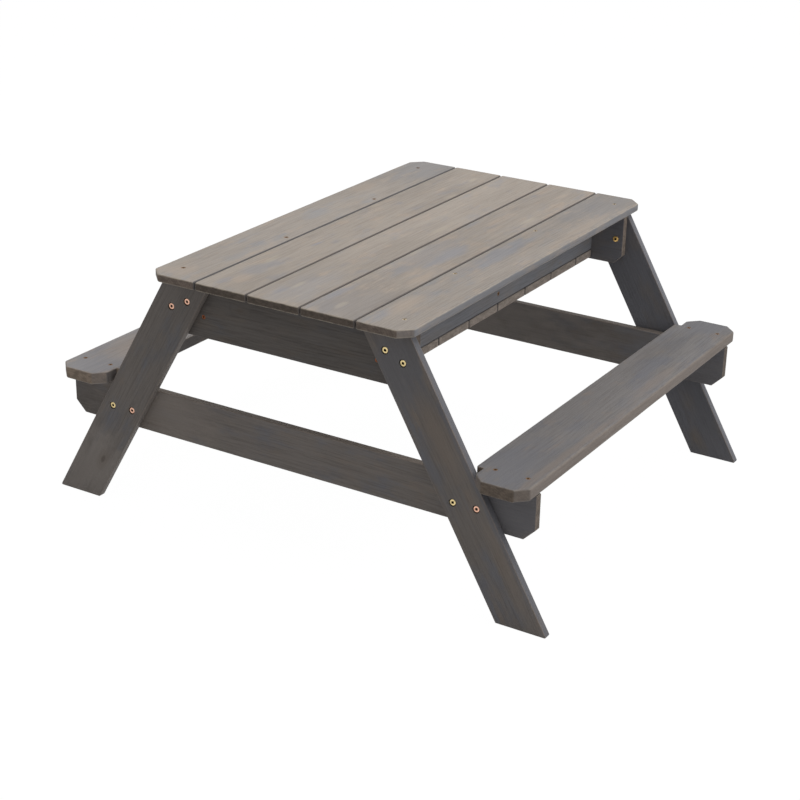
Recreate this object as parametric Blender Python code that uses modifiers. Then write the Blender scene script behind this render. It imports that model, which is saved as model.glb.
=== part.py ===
"""A child's picnic table: a plank top, two benches, and a sandbox hung under the middle of the top.

Metres, +Z up. X runs along the boards and Y across them, from bench to bench. The origin is on
the ground under the middle of the table. The near end is at -X and the left bench at +Y. The
three middle boards of the top are the sandbox's lid and lift straight up.
"""

import math

import bmesh
import bpy

# Whole table
TABLE_HEIGHT = 0.490
FIT_GAP = 0.0003
CUT_OVERRUN = 0.002

# Table top: a screwed board at each side, and the lid's boards between them
TOP_LENGTH = 0.893
TOP_THICKNESS = 0.015
TOP_CORNER = 0.023
TOP_EASE = 0.0025
SIDE_BOARD_WIDTH = 0.101
LID_BOARD_WIDTH = 0.1075
LID_BOARD_GAP = 0.0015
LID_BOARD_NAMES = ("lid_board_left", "lid_board_middle", "lid_board_right")

# Battens that hold the lid's boards together and locate the lid between the aprons
BATTEN_WIDTH = 0.040
BATTEN_THICKNESS = 0.015
BATTEN_INSET = 0.012
BATTEN_TO_APRON = 0.006

# Legs, each a slanted board cut level at the ground and under the top
LEG_WIDTH = 0.083
LEG_THICKNESS = 0.015
LEG_LEAN = math.radians(30)
LEG_TOP_INSET = 0.015
END_OVERHANG = 0.0295

# Aprons, the cross boards that join each pair of legs under the top
APRON_HEIGHT = 0.1035
APRON_THICKNESS = 0.015
APRON_PAST_LEG = 0.0035
APRON_CORNER = 0.017

# Bearers, the cross boards that carry the benches
BEARER_HEIGHT = 0.084
BEARER_THICKNESS = 0.015
BEARER_CORNER = 0.0215
BEARER_END_INSET = 0.0005

# Benches, one board each, notched at the inner corners to clear the legs
SEAT_TOP_HEIGHT = 0.2675
SEAT_OVERHANG = 0.0295
SEAT_WIDTH = 0.1145
SEAT_THICKNESS = 0.023
SEAT_CORNER = 0.021
SEAT_EASE = 0.003
SEAT_TO_LEG = 0.0025
NOTCH_DEPTH = 0.0135

# Sandbox: two rails and a divider, with boards across under them, the end ones cut narrower
RAIL_UNDER_BOARD = 0.00775
RAIL_HEIGHT = 0.084
RAIL_THICKNESS = 0.015
DIVIDER_THICKNESS = 0.015
FLOOR_THICKNESS = 0.015
FLOOR_BOARD_GAP = 0.001
FLOOR_BOARD_SHARES = (0.647, 1, 1, 1, 1, 1, 1, 0.647)

FRAME_EASE = 0.0015
EASE_STEPS = 2

# Connector bolts, each tightened in the sleeve nut at the frame's inner face
BOLT_HEAD_DIAMETER = 0.0115
BOLT_HEAD_THICKNESS = 0.0035
BOLT_HEAD_EASE = 0.0006
BOLT_SHANK_DIAMETER = 0.006
COUNTERBORE_DEPTH = 0.005
COUNTERBORE_MARGIN = 0.001
NUT_SLEEVE_DIAMETER = 0.0086
NUT_SLEEVE_LENGTH = 0.012
NUT_FLANGE_DIAMETER = 0.0115
NUT_FLANGE_THICKNESS = 0.0018
HEX_KEY_WIDTH = 0.004
HEX_SOCKET_DEPTH = 0.0025
BOLT_SIDES = 12

# Where the bolts stand: across the leg's level cut, down the apron and up the bearer
UPPER_BOLT_ACROSS_SHARES = (-0.21, 0.06)
UPPER_BOLT_DROP_SHARES = (0.357, 0.505)
LOWER_BOLT_ACROSS_SHARES = (-0.234, 0.234)
LOWER_BOLT_RISE_SHARE = 0.458

# Countersunk wood screws through the side boards and the benches
SCREW_HEAD_DIAMETER = 0.0078
SCREW_SHANK_DIAMETER = 0.004
SCREW_POINT_LENGTH = 0.004
SCREW_SINK = 0.0004
SCREW_RECESS_WIDTH = 0.003
SCREW_RECESS_DEPTH = 0.0016
TOP_SCREW_LENGTH = 0.045
SEAT_SCREW_LENGTH = 0.050
SCREW_SIDES = 10
TOP_SCREW_FROM_APRON_END = 0.027
RAIL_SCREW_SPACING = 0.300
SEAT_SCREW_FROM_OUTER = 0.022
SEAT_SCREW_FROM_NOTCH = 0.019

# Heights
UNDER_TOP = TABLE_HEIGHT - TOP_THICKNESS
FRAME_TOP = UNDER_TOP - FIT_GAP
APRON_BOTTOM = FRAME_TOP - APRON_HEIGHT
SEAT_BOTTOM = SEAT_TOP_HEIGHT - SEAT_THICKNESS
BEARER_TOP = SEAT_BOTTOM - FIT_GAP
BEARER_BOTTOM = BEARER_TOP - BEARER_HEIGHT
RAIL_BOTTOM = FRAME_TOP - RAIL_HEIGHT
FLOOR_TOP = RAIL_BOTTOM - FIT_GAP

# Places along X, from the middle
LEG_OUTER_FACE = TOP_LENGTH / 2 - END_OVERHANG
LEG_INNER_FACE = LEG_OUTER_FACE - LEG_THICKNESS
FRAME_OUTER_FACE = LEG_INNER_FACE - FIT_GAP
APRON_INNER_FACE = FRAME_OUTER_FACE - APRON_THICKNESS
BEARER_INNER_FACE = FRAME_OUTER_FACE - BEARER_THICKNESS
RAIL_HALF_LENGTH = APRON_INNER_FACE - FIT_GAP
FLOOR_GAPS = (len(FLOOR_BOARD_SHARES) - 1) * FLOOR_BOARD_GAP
FLOOR_BOARD_WIDTH = (2 * RAIL_HALF_LENGTH - FLOOR_GAPS) / sum(FLOOR_BOARD_SHARES)
SEAT_LENGTH = 2 * (LEG_OUTER_FACE + SEAT_OVERHANG)
NOTCH_START = LEG_INNER_FACE - SEAT_TO_LEG

# Places across Y, from the middle
LID_PITCH = LID_BOARD_WIDTH + LID_BOARD_GAP
LID_HALF_WIDTH = (len(LID_BOARD_NAMES) * LID_PITCH - LID_BOARD_GAP) / 2
SIDE_BOARD_INNER = LID_HALF_WIDTH + LID_BOARD_GAP
SIDE_BOARD_OUTER = SIDE_BOARD_INNER + SIDE_BOARD_WIDTH
LEG_TOP_OUTER = SIDE_BOARD_OUTER - LEG_TOP_INSET
LEG_CUT = LEG_WIDTH / math.cos(LEG_LEAN)
APRON_HALF_LENGTH = LEG_TOP_OUTER + APRON_PAST_LEG
RAIL_INNER = SIDE_BOARD_INNER + RAIL_UNDER_BOARD
RAIL_OUTER = RAIL_INNER + RAIL_THICKNESS


def leg_centre(height):
    """Distance from the middle plane to a leg's centre line, at a height."""
    return LEG_TOP_OUTER - LEG_CUT / 2 + (UNDER_TOP - height) * math.tan(LEG_LEAN)


SEAT_NOTCH_EDGE = leg_centre(SEAT_BOTTOM) + LEG_CUT / 2 + SEAT_TO_LEG
SEAT_INNER = SEAT_NOTCH_EDGE - NOTCH_DEPTH
SEAT_OUTER = SEAT_INNER + SEAT_WIDTH
BEARER_HALF_LENGTH = SEAT_OUTER - BEARER_END_INSET

ENDS = (("near", -1), ("far", 1))
SIDES = (("left", 1), ("right", -1))


def clear_scene():
    """Remove every object of the scene that the script is run from."""
    for obj in list(bpy.data.objects):
        bpy.data.objects.remove(obj, do_unlink=True)


def new_collection(name):
    """Add a collection to the scene."""
    collection = bpy.data.collections.new(name)
    bpy.context.scene.collection.children.link(collection)
    return collection


def new_material(name, colour, roughness, metallic=0.0):
    """Make a plain Principled material."""
    material = bpy.data.materials.new(name)
    material.use_nodes = True
    shader = material.node_tree.nodes["Principled BSDF"]
    shader.inputs["Base Color"].default_value = (*colour, 1.0)
    shader.inputs["Roughness"].default_value = roughness
    shader.inputs["Metallic"].default_value = metallic
    material.diffuse_color = (*colour, 1.0)
    return material


def top_timber():
    """Warm grey stain of the side boards."""
    return new_material("top_timber", (0.30, 0.27, 0.24), 0.65)


def lid_timber():
    """Paler, browner stain of the lid."""
    return new_material("lid_timber", (0.33, 0.29, 0.25), 0.65)


def frame_timber():
    """Dark grey stain of the legs, aprons and bearers."""
    return new_material("frame_timber", (0.085, 0.078, 0.074), 0.7)


def seat_timber():
    """Mid grey stain of the benches."""
    return new_material("seat_timber", (0.21, 0.20, 0.20), 0.65)


def sandbox_timber():
    """Blue-grey stain of the sandbox."""
    return new_material("sandbox_timber", (0.15, 0.14, 0.14), 0.7)


def fastener_brass():
    """Yellow zinc or brass of the bolts and screws."""
    return new_material("fastener_brass", (0.72, 0.48, 0.24), 0.35, 1.0)


def add_object(name, mesh, collection, material):
    """Link a mesh to a collection as a new object."""
    obj = bpy.data.objects.new(name, mesh)
    collection.objects.link(obj)
    if material and not mesh.materials:
        mesh.materials.append(material)
    return obj


def ease_edges(obj, width):
    """Round the board's arrises with a Bevel modifier."""
    bevel = obj.modifiers.new("eased_edges", "BEVEL")
    bevel.width = width
    bevel.segments = EASE_STEPS
    bevel.limit_method = "ANGLE"


def block(name, size, collection, material):
    """A plain rectangular block, centred on its origin."""
    mesh = bpy.data.meshes.new(name)
    cage = bmesh.new()
    bmesh.ops.create_cube(cage, size=1.0)
    bmesh.ops.scale(cage, vec=size, verts=cage.verts)
    cage.to_mesh(mesh)
    cage.free()
    return add_object(name, mesh, collection, material)


def board(name, size, collection, material, ease):
    """A plain rectangular board with its arrises rounded."""
    obj = block(name, size, collection, material)
    ease_edges(obj, ease)
    return obj


def shaped_board(name, outline, thickness, collection, material, ease):
    """A board cut to an outline in its local XY plane, half its thickness to each side."""
    curve = bpy.data.curves.new(name, "CURVE")
    curve.dimensions = "2D"
    curve.fill_mode = "BOTH"
    curve.extrude = thickness / 2
    spline = curve.splines.new("POLY")
    spline.points.add(len(outline) - 1)
    for point, (across, along) in zip(spline.points, outline):
        point.co = (across, along, 0, 1)
    spline.use_cyclic_u = True
    guide = bpy.data.objects.new(name + "_outline", curve)
    collection.objects.link(guide)
    mesh = mesh_of(guide)
    bpy.data.curves.remove(curve)
    mesh.name = name
    cage = bmesh.new()
    cage.from_mesh(mesh)
    bmesh.ops.remove_doubles(cage, verts=cage.verts, dist=FIT_GAP)
    caps = [face for face in cage.faces if abs(face.normal.z) > math.cos(math.radians(45))]
    bmesh.ops.dissolve_faces(cage, faces=caps, use_verts=False)
    bmesh.ops.recalc_face_normals(cage, faces=cage.faces)
    cage.to_mesh(mesh)
    cage.free()
    obj = add_object(name, mesh, collection, material)
    ease_edges(obj, ease)
    return obj


def mesh_of(obj):
    """Take an object's evaluated mesh and remove the object."""
    graph = bpy.context.evaluated_depsgraph_get()
    graph.update()
    mesh = bpy.data.meshes.new_from_object(obj.evaluated_get(graph))
    bpy.data.objects.remove(obj, do_unlink=True)
    return mesh


def turned(name, profile, sides, collection):
    """A turned solid about local Z, from (radius, height) points that run down its outer side."""
    mesh = bpy.data.meshes.new(name)
    cage = bmesh.new()
    points = [cage.verts.new((radius, 0, height)) for radius, height in profile]
    for upper, lower in zip(points, points[1:]):
        cage.edges.new((upper, lower))
    cage.to_mesh(mesh)
    cage.free()
    obj = add_object(name, mesh, collection, None)
    screw = obj.modifiers.new("turn", "SCREW")
    screw.steps = sides
    screw.render_steps = sides
    screw.use_merge_vertices = True
    screw.merge_threshold = 0.00001
    return obj


def prism(name, width, depth, corners, height, collection):
    """A regular prism about local Z, with this width across its flats, centred at a height."""
    mesh = bpy.data.meshes.new(name)
    cage = bmesh.new()
    radius = width / 2 / math.cos(math.pi / corners)
    bmesh.ops.create_cone(
        cage, cap_ends=True, segments=corners, radius1=radius, radius2=radius, depth=depth
    )
    bmesh.ops.translate(cage, vec=(0, 0, height), verts=cage.verts)
    cage.to_mesh(mesh)
    cage.free()
    return add_object(name, mesh, collection, None)


def cut(obj, cutter):
    """Take a cutter away from an object with a Boolean modifier."""
    boolean = obj.modifiers.new(cutter.name, "BOOLEAN")
    boolean.operation = "DIFFERENCE"
    boolean.object = cutter
    boolean.solver = "EXACT"


def hide_cutter(obj):
    """Keep a cutter out of renders and show it as wire."""
    obj.hide_render = True
    obj.display_type = "WIRE"


def clamped_thickness(inner_thickness):
    """What a connector bolt draws together: a leg and the board on its inner side."""
    return LEG_THICKNESS + FIT_GAP + inner_thickness


def bolt_mesh(inner_thickness, cutters):
    """A connector bolt in its sleeve nut. Local Z is zero at the leg's face and points out."""
    head_top = -COUNTERBORE_DEPTH + FIT_GAP + BOLT_HEAD_THICKNESS
    head_bottom = head_top - BOLT_HEAD_THICKNESS
    nut_seat = -clamped_thickness(inner_thickness) - FIT_GAP
    sleeve_top = nut_seat + NUT_SLEEVE_LENGTH
    nut_end = nut_seat - NUT_FLANGE_THICKNESS
    head = BOLT_HEAD_DIAMETER / 2
    flange = NUT_FLANGE_DIAMETER / 2
    profile = [
        (0, head_top),
        (head - BOLT_HEAD_EASE, head_top),
        (head, head_top - BOLT_HEAD_EASE),
        (head, head_bottom),
        (BOLT_SHANK_DIAMETER / 2, head_bottom),
        (BOLT_SHANK_DIAMETER / 2, sleeve_top),
        (NUT_SLEEVE_DIAMETER / 2, sleeve_top),
        (NUT_SLEEVE_DIAMETER / 2, nut_seat),
        (flange, nut_seat),
        (flange, nut_end + BOLT_HEAD_EASE),
        (flange - BOLT_HEAD_EASE, nut_end),
        (0, nut_end),
    ]
    bolt = turned("bolt", profile, BOLT_SIDES, cutters)
    for face in (head_top, nut_end):
        socket = prism("hex_socket", HEX_KEY_WIDTH, 2 * HEX_SOCKET_DEPTH, 6, face, cutters)
        hide_cutter(socket)
        cut(bolt, socket)
    return mesh_of(bolt)


def bolt_bore_mesh(inner_thickness, cutters):
    """The hole for a connector bolt: counterbore, shank and sleeve, with a fit gap all round."""
    inner_face = -clamped_thickness(inner_thickness)
    counterbore = BOLT_HEAD_DIAMETER / 2 + COUNTERBORE_MARGIN
    shank = BOLT_SHANK_DIAMETER / 2 + FIT_GAP
    sleeve = NUT_SLEEVE_DIAMETER / 2 + FIT_GAP
    sleeve_top = inner_face + NUT_SLEEVE_LENGTH
    profile = [
        (0, CUT_OVERRUN),
        (counterbore, CUT_OVERRUN),
        (counterbore, -COUNTERBORE_DEPTH),
        (shank, -COUNTERBORE_DEPTH),
        (shank, sleeve_top),
        (sleeve, sleeve_top),
        (sleeve, inner_face - CUT_OVERRUN),
        (0, inner_face - CUT_OVERRUN),
    ]
    return mesh_of(turned("bolt_bore", profile, BOLT_SIDES, cutters))


def screw_mesh(length, cutters):
    """A countersunk screw. Local Z is zero at the board's face and points out."""
    head = SCREW_HEAD_DIAMETER / 2
    shank = SCREW_SHANK_DIAMETER / 2
    top = -SCREW_SINK
    profile = [
        (0, top),
        (head, top),
        (shank, top - (head - shank)),
        (shank, top - length + SCREW_POINT_LENGTH),
        (0, top - length),
    ]
    screw = turned("screw", profile, SCREW_SIDES, cutters)
    recess = prism("driver_recess", SCREW_RECESS_WIDTH, 2 * SCREW_RECESS_DEPTH, 4, top, cutters)
    hide_cutter(recess)
    cut(screw, recess)
    return mesh_of(screw)


def screw_bore_mesh(length, cutters):
    """The countersink and pilot hole for a screw, with a fit gap all round."""
    head = SCREW_HEAD_DIAMETER / 2 + FIT_GAP
    shank = SCREW_SHANK_DIAMETER / 2 + FIT_GAP
    bottom = -SCREW_SINK - length - FIT_GAP
    profile = [
        (0, CUT_OVERRUN),
        (head, CUT_OVERRUN),
        (head, -SCREW_SINK),
        (shank, -SCREW_SINK - (head - shank)),
        (shank, bottom),
        (0, bottom),
    ]
    return mesh_of(turned("screw_bore", profile, SCREW_SIDES, cutters))


def side_board_outline():
    """Half length by half width, with the two outer corners cut off."""
    along = TOP_LENGTH / 2
    across = SIDE_BOARD_WIDTH / 2
    return [
        (-along, -across),
        (along, -across),
        (along, across - TOP_CORNER),
        (along - TOP_CORNER, across),
        (-along + TOP_CORNER, across),
        (-along, across - TOP_CORNER),
    ]


def seat_outline():
    """A bench board about its own middle, before its notches. The inner corners are cut deeper."""
    along = SEAT_LENGTH / 2
    across = SEAT_WIDTH / 2
    inner_corner = SEAT_CORNER + NOTCH_DEPTH
    half = [
        (along - inner_corner, -across),
        (along, -across + inner_corner),
        (along, across - SEAT_CORNER),
        (along - SEAT_CORNER, across),
    ]
    return half + [(-x, y) for x, y in reversed(half)]


def cross_board_outline(half_length, height, corner):
    """A cross board with its two lower corners cut off."""
    half = [
        (half_length - corner, -height / 2),
        (half_length, -height / 2 + corner),
        (half_length, height / 2),
    ]
    return half + [(-x, z) for x, z in reversed(half)]


def leg_outline():
    """A leaning board about its own middle, cut level at both ends. Local X points outwards."""
    middle = leg_centre(FRAME_TOP / 2)
    foot = leg_centre(0) - middle
    head = leg_centre(FRAME_TOP) - middle
    return [
        (foot - LEG_CUT / 2, -FRAME_TOP / 2),
        (foot + LEG_CUT / 2, -FRAME_TOP / 2),
        (head + LEG_CUT / 2, FRAME_TOP / 2),
        (head - LEG_CUT / 2, FRAME_TOP / 2),
    ]


def stand_across(obj, x, side, y, z):
    """Turn a shaped board upright across the table, its local X towards this side."""
    obj.rotation_euler = (math.pi / 2, 0, side * math.pi / 2)
    obj.location = (x, side * y, z)


def make_side_boards(parts, material):
    """The two screwed boards of the top. Returns them by side."""
    boards = {}
    middle = (SIDE_BOARD_INNER + SIDE_BOARD_OUTER) / 2
    for side_name, side in SIDES:
        name = "top_board_" + side_name
        outline = side_board_outline()
        obj = shaped_board(name, outline, TOP_THICKNESS, parts, material, TOP_EASE)
        obj.location = (0, side * middle, UNDER_TOP + TOP_THICKNESS / 2)
        obj.rotation_euler = (0, 0, 0 if side > 0 else math.pi)
        boards[side_name] = obj
    return boards


def make_lid(parts, material):
    """The lid's boards and battens, all under one empty at the middle of the top."""
    lid = bpy.data.objects.new("lid_axis", None)
    parts.objects.link(lid)
    lid.location = (0, 0, UNDER_TOP)
    size = (TOP_LENGTH, LID_BOARD_WIDTH, TOP_THICKNESS)
    for place, name in zip((1, 0, -1), LID_BOARD_NAMES):
        obj = board(name, size, parts, material, TOP_EASE)
        obj.parent = lid
        obj.location = (0, place * LID_PITCH, TOP_THICKNESS / 2)
    length = 2 * (LID_HALF_WIDTH - BATTEN_INSET)
    out = APRON_INNER_FACE - BATTEN_TO_APRON - BATTEN_WIDTH / 2
    for end_name, end in ENDS:
        name = "lid_batten_" + end_name
        obj = board(name, (BATTEN_WIDTH, length, BATTEN_THICKNESS), parts, material, FRAME_EASE)
        obj.parent = lid
        obj.location = (end * out, 0, -FIT_GAP - BATTEN_THICKNESS / 2)


def make_legs(parts, material):
    """The four legs. Returns them by end and side."""
    legs = {}
    for end_name, end in ENDS:
        for side_name, side in SIDES:
            name = "leg_" + end_name + "_" + side_name
            obj = shaped_board(name, leg_outline(), LEG_THICKNESS, parts, material, FRAME_EASE)
            x = end * (LEG_OUTER_FACE + LEG_INNER_FACE) / 2
            stand_across(obj, x, side, leg_centre(FRAME_TOP / 2), FRAME_TOP / 2)
            legs[end_name, side_name] = obj
    return legs


def make_cross_boards(parts, material):
    """The apron and the bench bearer of each end. Returns both by end."""
    aprons = {}
    bearers = {}
    for end_name, end in ENDS:
        outline = cross_board_outline(APRON_HALF_LENGTH, APRON_HEIGHT, APRON_CORNER)
        name = "apron_" + end_name
        apron = shaped_board(name, outline, APRON_THICKNESS, parts, material, FRAME_EASE)
        apron_x = end * (FRAME_OUTER_FACE + APRON_INNER_FACE) / 2
        stand_across(apron, apron_x, 1, 0, (FRAME_TOP + APRON_BOTTOM) / 2)
        aprons[end_name] = apron
        outline = cross_board_outline(BEARER_HALF_LENGTH, BEARER_HEIGHT, BEARER_CORNER)
        name = "seat_bearer_" + end_name
        bearer = shaped_board(name, outline, BEARER_THICKNESS, parts, material, FRAME_EASE)
        bearer_x = end * (FRAME_OUTER_FACE + BEARER_INNER_FACE) / 2
        stand_across(bearer, bearer_x, 1, 0, (BEARER_TOP + BEARER_BOTTOM) / 2)
        bearers[end_name] = bearer
    return aprons, bearers


def notch_seat(seat, side_name, side, cutters):
    """Cut the inner edge back beside the legs, from each end to just past the leg."""
    length = SEAT_LENGTH / 2 - NOTCH_START + CUT_OVERRUN
    size = (length, NOTCH_DEPTH + CUT_OVERRUN, SEAT_THICKNESS + 2 * CUT_OVERRUN)
    for end_name, end in ENDS:
        name = "_".join(("notch", side_name, end_name))
        cutter = block(name, size, cutters, None)
        x = end * (NOTCH_START + length / 2)
        y = side * (SEAT_NOTCH_EDGE - size[1] / 2)
        cutter.location = (x, y, SEAT_BOTTOM + SEAT_THICKNESS / 2)
        hide_cutter(cutter)
        cut(seat, cutter)


def make_seats(parts, cutters, material):
    """The two bench boards. Returns them by side."""
    seats = {}
    for side_name, side in SIDES:
        name = "seat_" + side_name
        obj = shaped_board(name, seat_outline(), SEAT_THICKNESS, parts, material, SEAT_EASE)
        middle = (SEAT_INNER + SEAT_OUTER) / 2
        obj.location = (0, side * middle, SEAT_BOTTOM + SEAT_THICKNESS / 2)
        obj.rotation_euler = (0, 0, 0 if side > 0 else math.pi)
        notch_seat(obj, side_name, side, cutters)
        seats[side_name] = obj
    return seats


def make_rails(parts, material):
    """The sandbox's two long walls. Returns them by side."""
    rails = {}
    size = (2 * RAIL_HALF_LENGTH, RAIL_THICKNESS, RAIL_HEIGHT)
    for side_name, side in SIDES:
        obj = board("sandbox_rail_" + side_name, size, parts, material, FRAME_EASE)
        obj.location = (0, side * (RAIL_OUTER + RAIL_INNER) / 2, RAIL_BOTTOM + RAIL_HEIGHT / 2)
        rails[side_name] = obj
    return rails


def make_divider(parts, material):
    """The cross wall that parts the sandbox in two and holds the lid up at its middle."""
    size = (DIVIDER_THICKNESS, 2 * (RAIL_INNER - FIT_GAP), RAIL_HEIGHT)
    obj = board("sandbox_divider", size, parts, material, FRAME_EASE)
    obj.location = (0, 0, RAIL_BOTTOM + RAIL_HEIGHT / 2)


def floor_board_spans():
    """Start and end of each floor board along X, from the near apron to the far one."""
    start = -RAIL_HALF_LENGTH
    for share in FLOOR_BOARD_SHARES:
        end = start + share * FLOOR_BOARD_WIDTH
        yield start, end
        start = end + FLOOR_BOARD_GAP


def make_floor(parts, material):
    """The boards across under the rails."""
    for number, (start, end) in enumerate(floor_board_spans(), 1):
        size = (end - start, 2 * RAIL_OUTER, FLOOR_THICKNESS)
        obj = board(f"sandbox_floor_board_{number}", size, parts, material, FRAME_EASE)
        obj.location = ((start + end) / 2, 0, FLOOR_TOP - FLOOR_THICKNESS / 2)


def place_fastener(name, meshes, place, turn, pieces, collections, material):
    """Put one fastener at a place and cut its hole in the pieces that it passes through."""
    parts, cutters = collections
    solid, bore = meshes
    fastener = add_object(name, solid, parts, material)
    cutter = add_object(name + "_bore", bore, cutters, None)
    for obj in (fastener, cutter):
        obj.location = place
        obj.rotation_euler = turn
    hide_cutter(cutter)
    for piece in pieces:
        cut(piece, cutter)


def bolt_places():
    """Name, distance from the middle and height of the bolts of one leg, top pair first."""
    for name, across, drop in zip(
        ("top_inner", "top_outer"), UPPER_BOLT_ACROSS_SHARES, UPPER_BOLT_DROP_SHARES
    ):
        height = FRAME_TOP - drop * APRON_HEIGHT
        yield name, leg_centre(height) + across * LEG_CUT, height
    for name, across in zip(("seat_inner", "seat_outer"), LOWER_BOLT_ACROSS_SHARES):
        height = BEARER_BOTTOM + LOWER_BOLT_RISE_SHARE * BEARER_HEIGHT
        yield name, leg_centre(height) + across * LEG_CUT, height


def make_bolts(legs, aprons, bearers, collections, material):
    """Four connector bolts in each leg: two into the apron and two into the bearer."""
    cutters = collections[1]
    apron_meshes = (bolt_mesh(APRON_THICKNESS, cutters), bolt_bore_mesh(APRON_THICKNESS, cutters))
    bearer_meshes = (
        bolt_mesh(BEARER_THICKNESS, cutters),
        bolt_bore_mesh(BEARER_THICKNESS, cutters),
    )
    for end_name, end in ENDS:
        turn = (0, end * math.pi / 2, 0)
        for side_name, side in SIDES:
            leg = legs[end_name, side_name]
            for bolt_name, y, z in bolt_places():
                name = "_".join(("bolt", end_name, side_name, bolt_name))
                place = (end * LEG_OUTER_FACE, side * y, z)
                upper = bolt_name.startswith("top")
                meshes = apron_meshes if upper else bearer_meshes
                inner = aprons[end_name] if upper else bearers[end_name]
                place_fastener(name, meshes, place, turn, (leg, inner), collections, material)


def make_top_screws(boards, aprons, rails, collections, material):
    """Four screws down through each side board: one into each apron, two into the rail."""
    cutters = collections[1]
    meshes = (screw_mesh(TOP_SCREW_LENGTH, cutters), screw_bore_mesh(TOP_SCREW_LENGTH, cutters))
    apron_x = (FRAME_OUTER_FACE + APRON_INNER_FACE) / 2
    apron_y = APRON_HALF_LENGTH - TOP_SCREW_FROM_APRON_END
    rail_y = (RAIL_OUTER + RAIL_INNER) / 2
    for side_name, side in SIDES:
        for end_name, end in ENDS:
            top = boards[side_name]
            name = "_".join(("screw_top", side_name, end_name, "apron"))
            place = (end * apron_x, side * apron_y, TABLE_HEIGHT)
            pieces = (top, aprons[end_name])
            place_fastener(name, meshes, place, (0, 0, 0), pieces, collections, material)
            name = "_".join(("screw_top", side_name, end_name, "rail"))
            place = (end * RAIL_SCREW_SPACING / 2, side * rail_y, TABLE_HEIGHT)
            pieces = (top, rails[side_name])
            place_fastener(name, meshes, place, (0, 0, 0), pieces, collections, material)


def make_seat_screws(seats, bearers, collections, material):
    """Two screws down through each end of each bench into the bearer."""
    cutters = collections[1]
    meshes = (screw_mesh(SEAT_SCREW_LENGTH, cutters), screw_bore_mesh(SEAT_SCREW_LENGTH, cutters))
    x = (FRAME_OUTER_FACE + BEARER_INNER_FACE) / 2
    rows = (
        ("inner", SEAT_NOTCH_EDGE + SEAT_SCREW_FROM_NOTCH),
        ("outer", SEAT_OUTER - SEAT_SCREW_FROM_OUTER),
    )
    for side_name, side in SIDES:
        for end_name, end in ENDS:
            for row_name, y in rows:
                name = "_".join(("screw_seat", side_name, end_name, row_name))
                place = (end * x, side * y, SEAT_TOP_HEIGHT)
                pieces = (seats[side_name], bearers[end_name])
                place_fastener(name, meshes, place, (0, 0, 0), pieces, collections, material)


def main():
    """Build the whole table."""
    clear_scene()
    parts = new_collection("picnic_table_with_sandbox")
    cutters = new_collection("cutters")
    collections = (parts, cutters)
    frame = frame_timber()
    sandbox = sandbox_timber()
    brass = fastener_brass()
    boards = make_side_boards(parts, top_timber())
    make_lid(parts, lid_timber())
    legs = make_legs(parts, frame)
    aprons, bearers = make_cross_boards(parts, frame)
    seats = make_seats(parts, cutters, seat_timber())
    rails = make_rails(parts, sandbox)
    make_divider(parts, sandbox)
    make_floor(parts, sandbox)
    make_bolts(legs, aprons, bearers, collections, brass)
    make_top_screws(boards, aprons, rails, collections, brass)
    make_seat_screws(seats, bearers, collections, brass)


main()
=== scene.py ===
"""Looks of a child's picnic table with a sandbox under its top, laid out as a Blender add-on.

Every board is worked out again with numpy as a slab with eased arrises, drilled for its bolts and
screws and given a stained softwood finish that follows its own grain. The fasteners are turned
surfaces with a hexagon or cross recess. Metres, +Z up, X along the planks, Y from bench to bench.
"""

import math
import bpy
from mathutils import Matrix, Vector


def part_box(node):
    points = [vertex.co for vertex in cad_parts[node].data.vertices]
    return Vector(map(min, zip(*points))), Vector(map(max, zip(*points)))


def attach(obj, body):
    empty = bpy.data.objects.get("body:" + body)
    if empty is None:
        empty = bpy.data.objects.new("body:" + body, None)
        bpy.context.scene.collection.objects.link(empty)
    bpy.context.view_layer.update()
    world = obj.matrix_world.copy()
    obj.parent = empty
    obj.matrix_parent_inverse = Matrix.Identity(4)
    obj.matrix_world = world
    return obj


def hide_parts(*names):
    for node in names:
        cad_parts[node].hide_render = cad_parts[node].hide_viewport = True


bl_info = {
    "name": "Picnic Table with Sandbox",
    "version": (1, 0, 0),
    "blender": (4, 5, 0),
    "location": "View3D > Sidebar > Picnic Table",
    "description": "Dresses the picnic table with eased boards, stained timber and brass fasteners",
    "category": "Object",
}

import zlib
from dataclasses import dataclass

import bmesh
import bpy
import numpy as np
from bpy.props import FloatProperty, FloatVectorProperty, IntProperty, PointerProperty
from bpy.types import Operator, Panel, PropertyGroup
from mathutils import Euler, Quaternion, Vector

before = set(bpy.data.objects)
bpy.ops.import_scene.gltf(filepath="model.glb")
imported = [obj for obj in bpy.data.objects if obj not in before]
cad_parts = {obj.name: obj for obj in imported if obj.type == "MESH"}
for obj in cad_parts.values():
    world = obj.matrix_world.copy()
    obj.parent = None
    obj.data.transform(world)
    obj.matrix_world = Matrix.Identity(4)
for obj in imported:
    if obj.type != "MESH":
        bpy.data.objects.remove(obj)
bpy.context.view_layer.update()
TAU = 2 * math.pi

# How finely the surfaces are divided
ALONG_STEP = 0.009
ACROSS_STEP = 0.0027
STATION_GAP = 2e-5
CORNER_STEPS = 5
EASE_STEPS = 4
HEAD_SIDES = 48
BORE_SIDES = 40
THREAD_SIDES = 16
THREAD_STEPS = 5
RIM_STEPS = 5
FLANGE_STEPS = 4
WELD = 1e-6
SIDEWAYS_SHARE = 0.2
SMOOTH_TURN = 40
SCREW_TURN = 35
FASTENER_TURN = 30

# Unevenness of a board, with the most waves along and across it in turns per metre
EASE_WANDER = 0.15
EASE_WAVES = (7, 7)
RELIEF_WAVES = (4, 190)
FADE_LINES = 3

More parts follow.
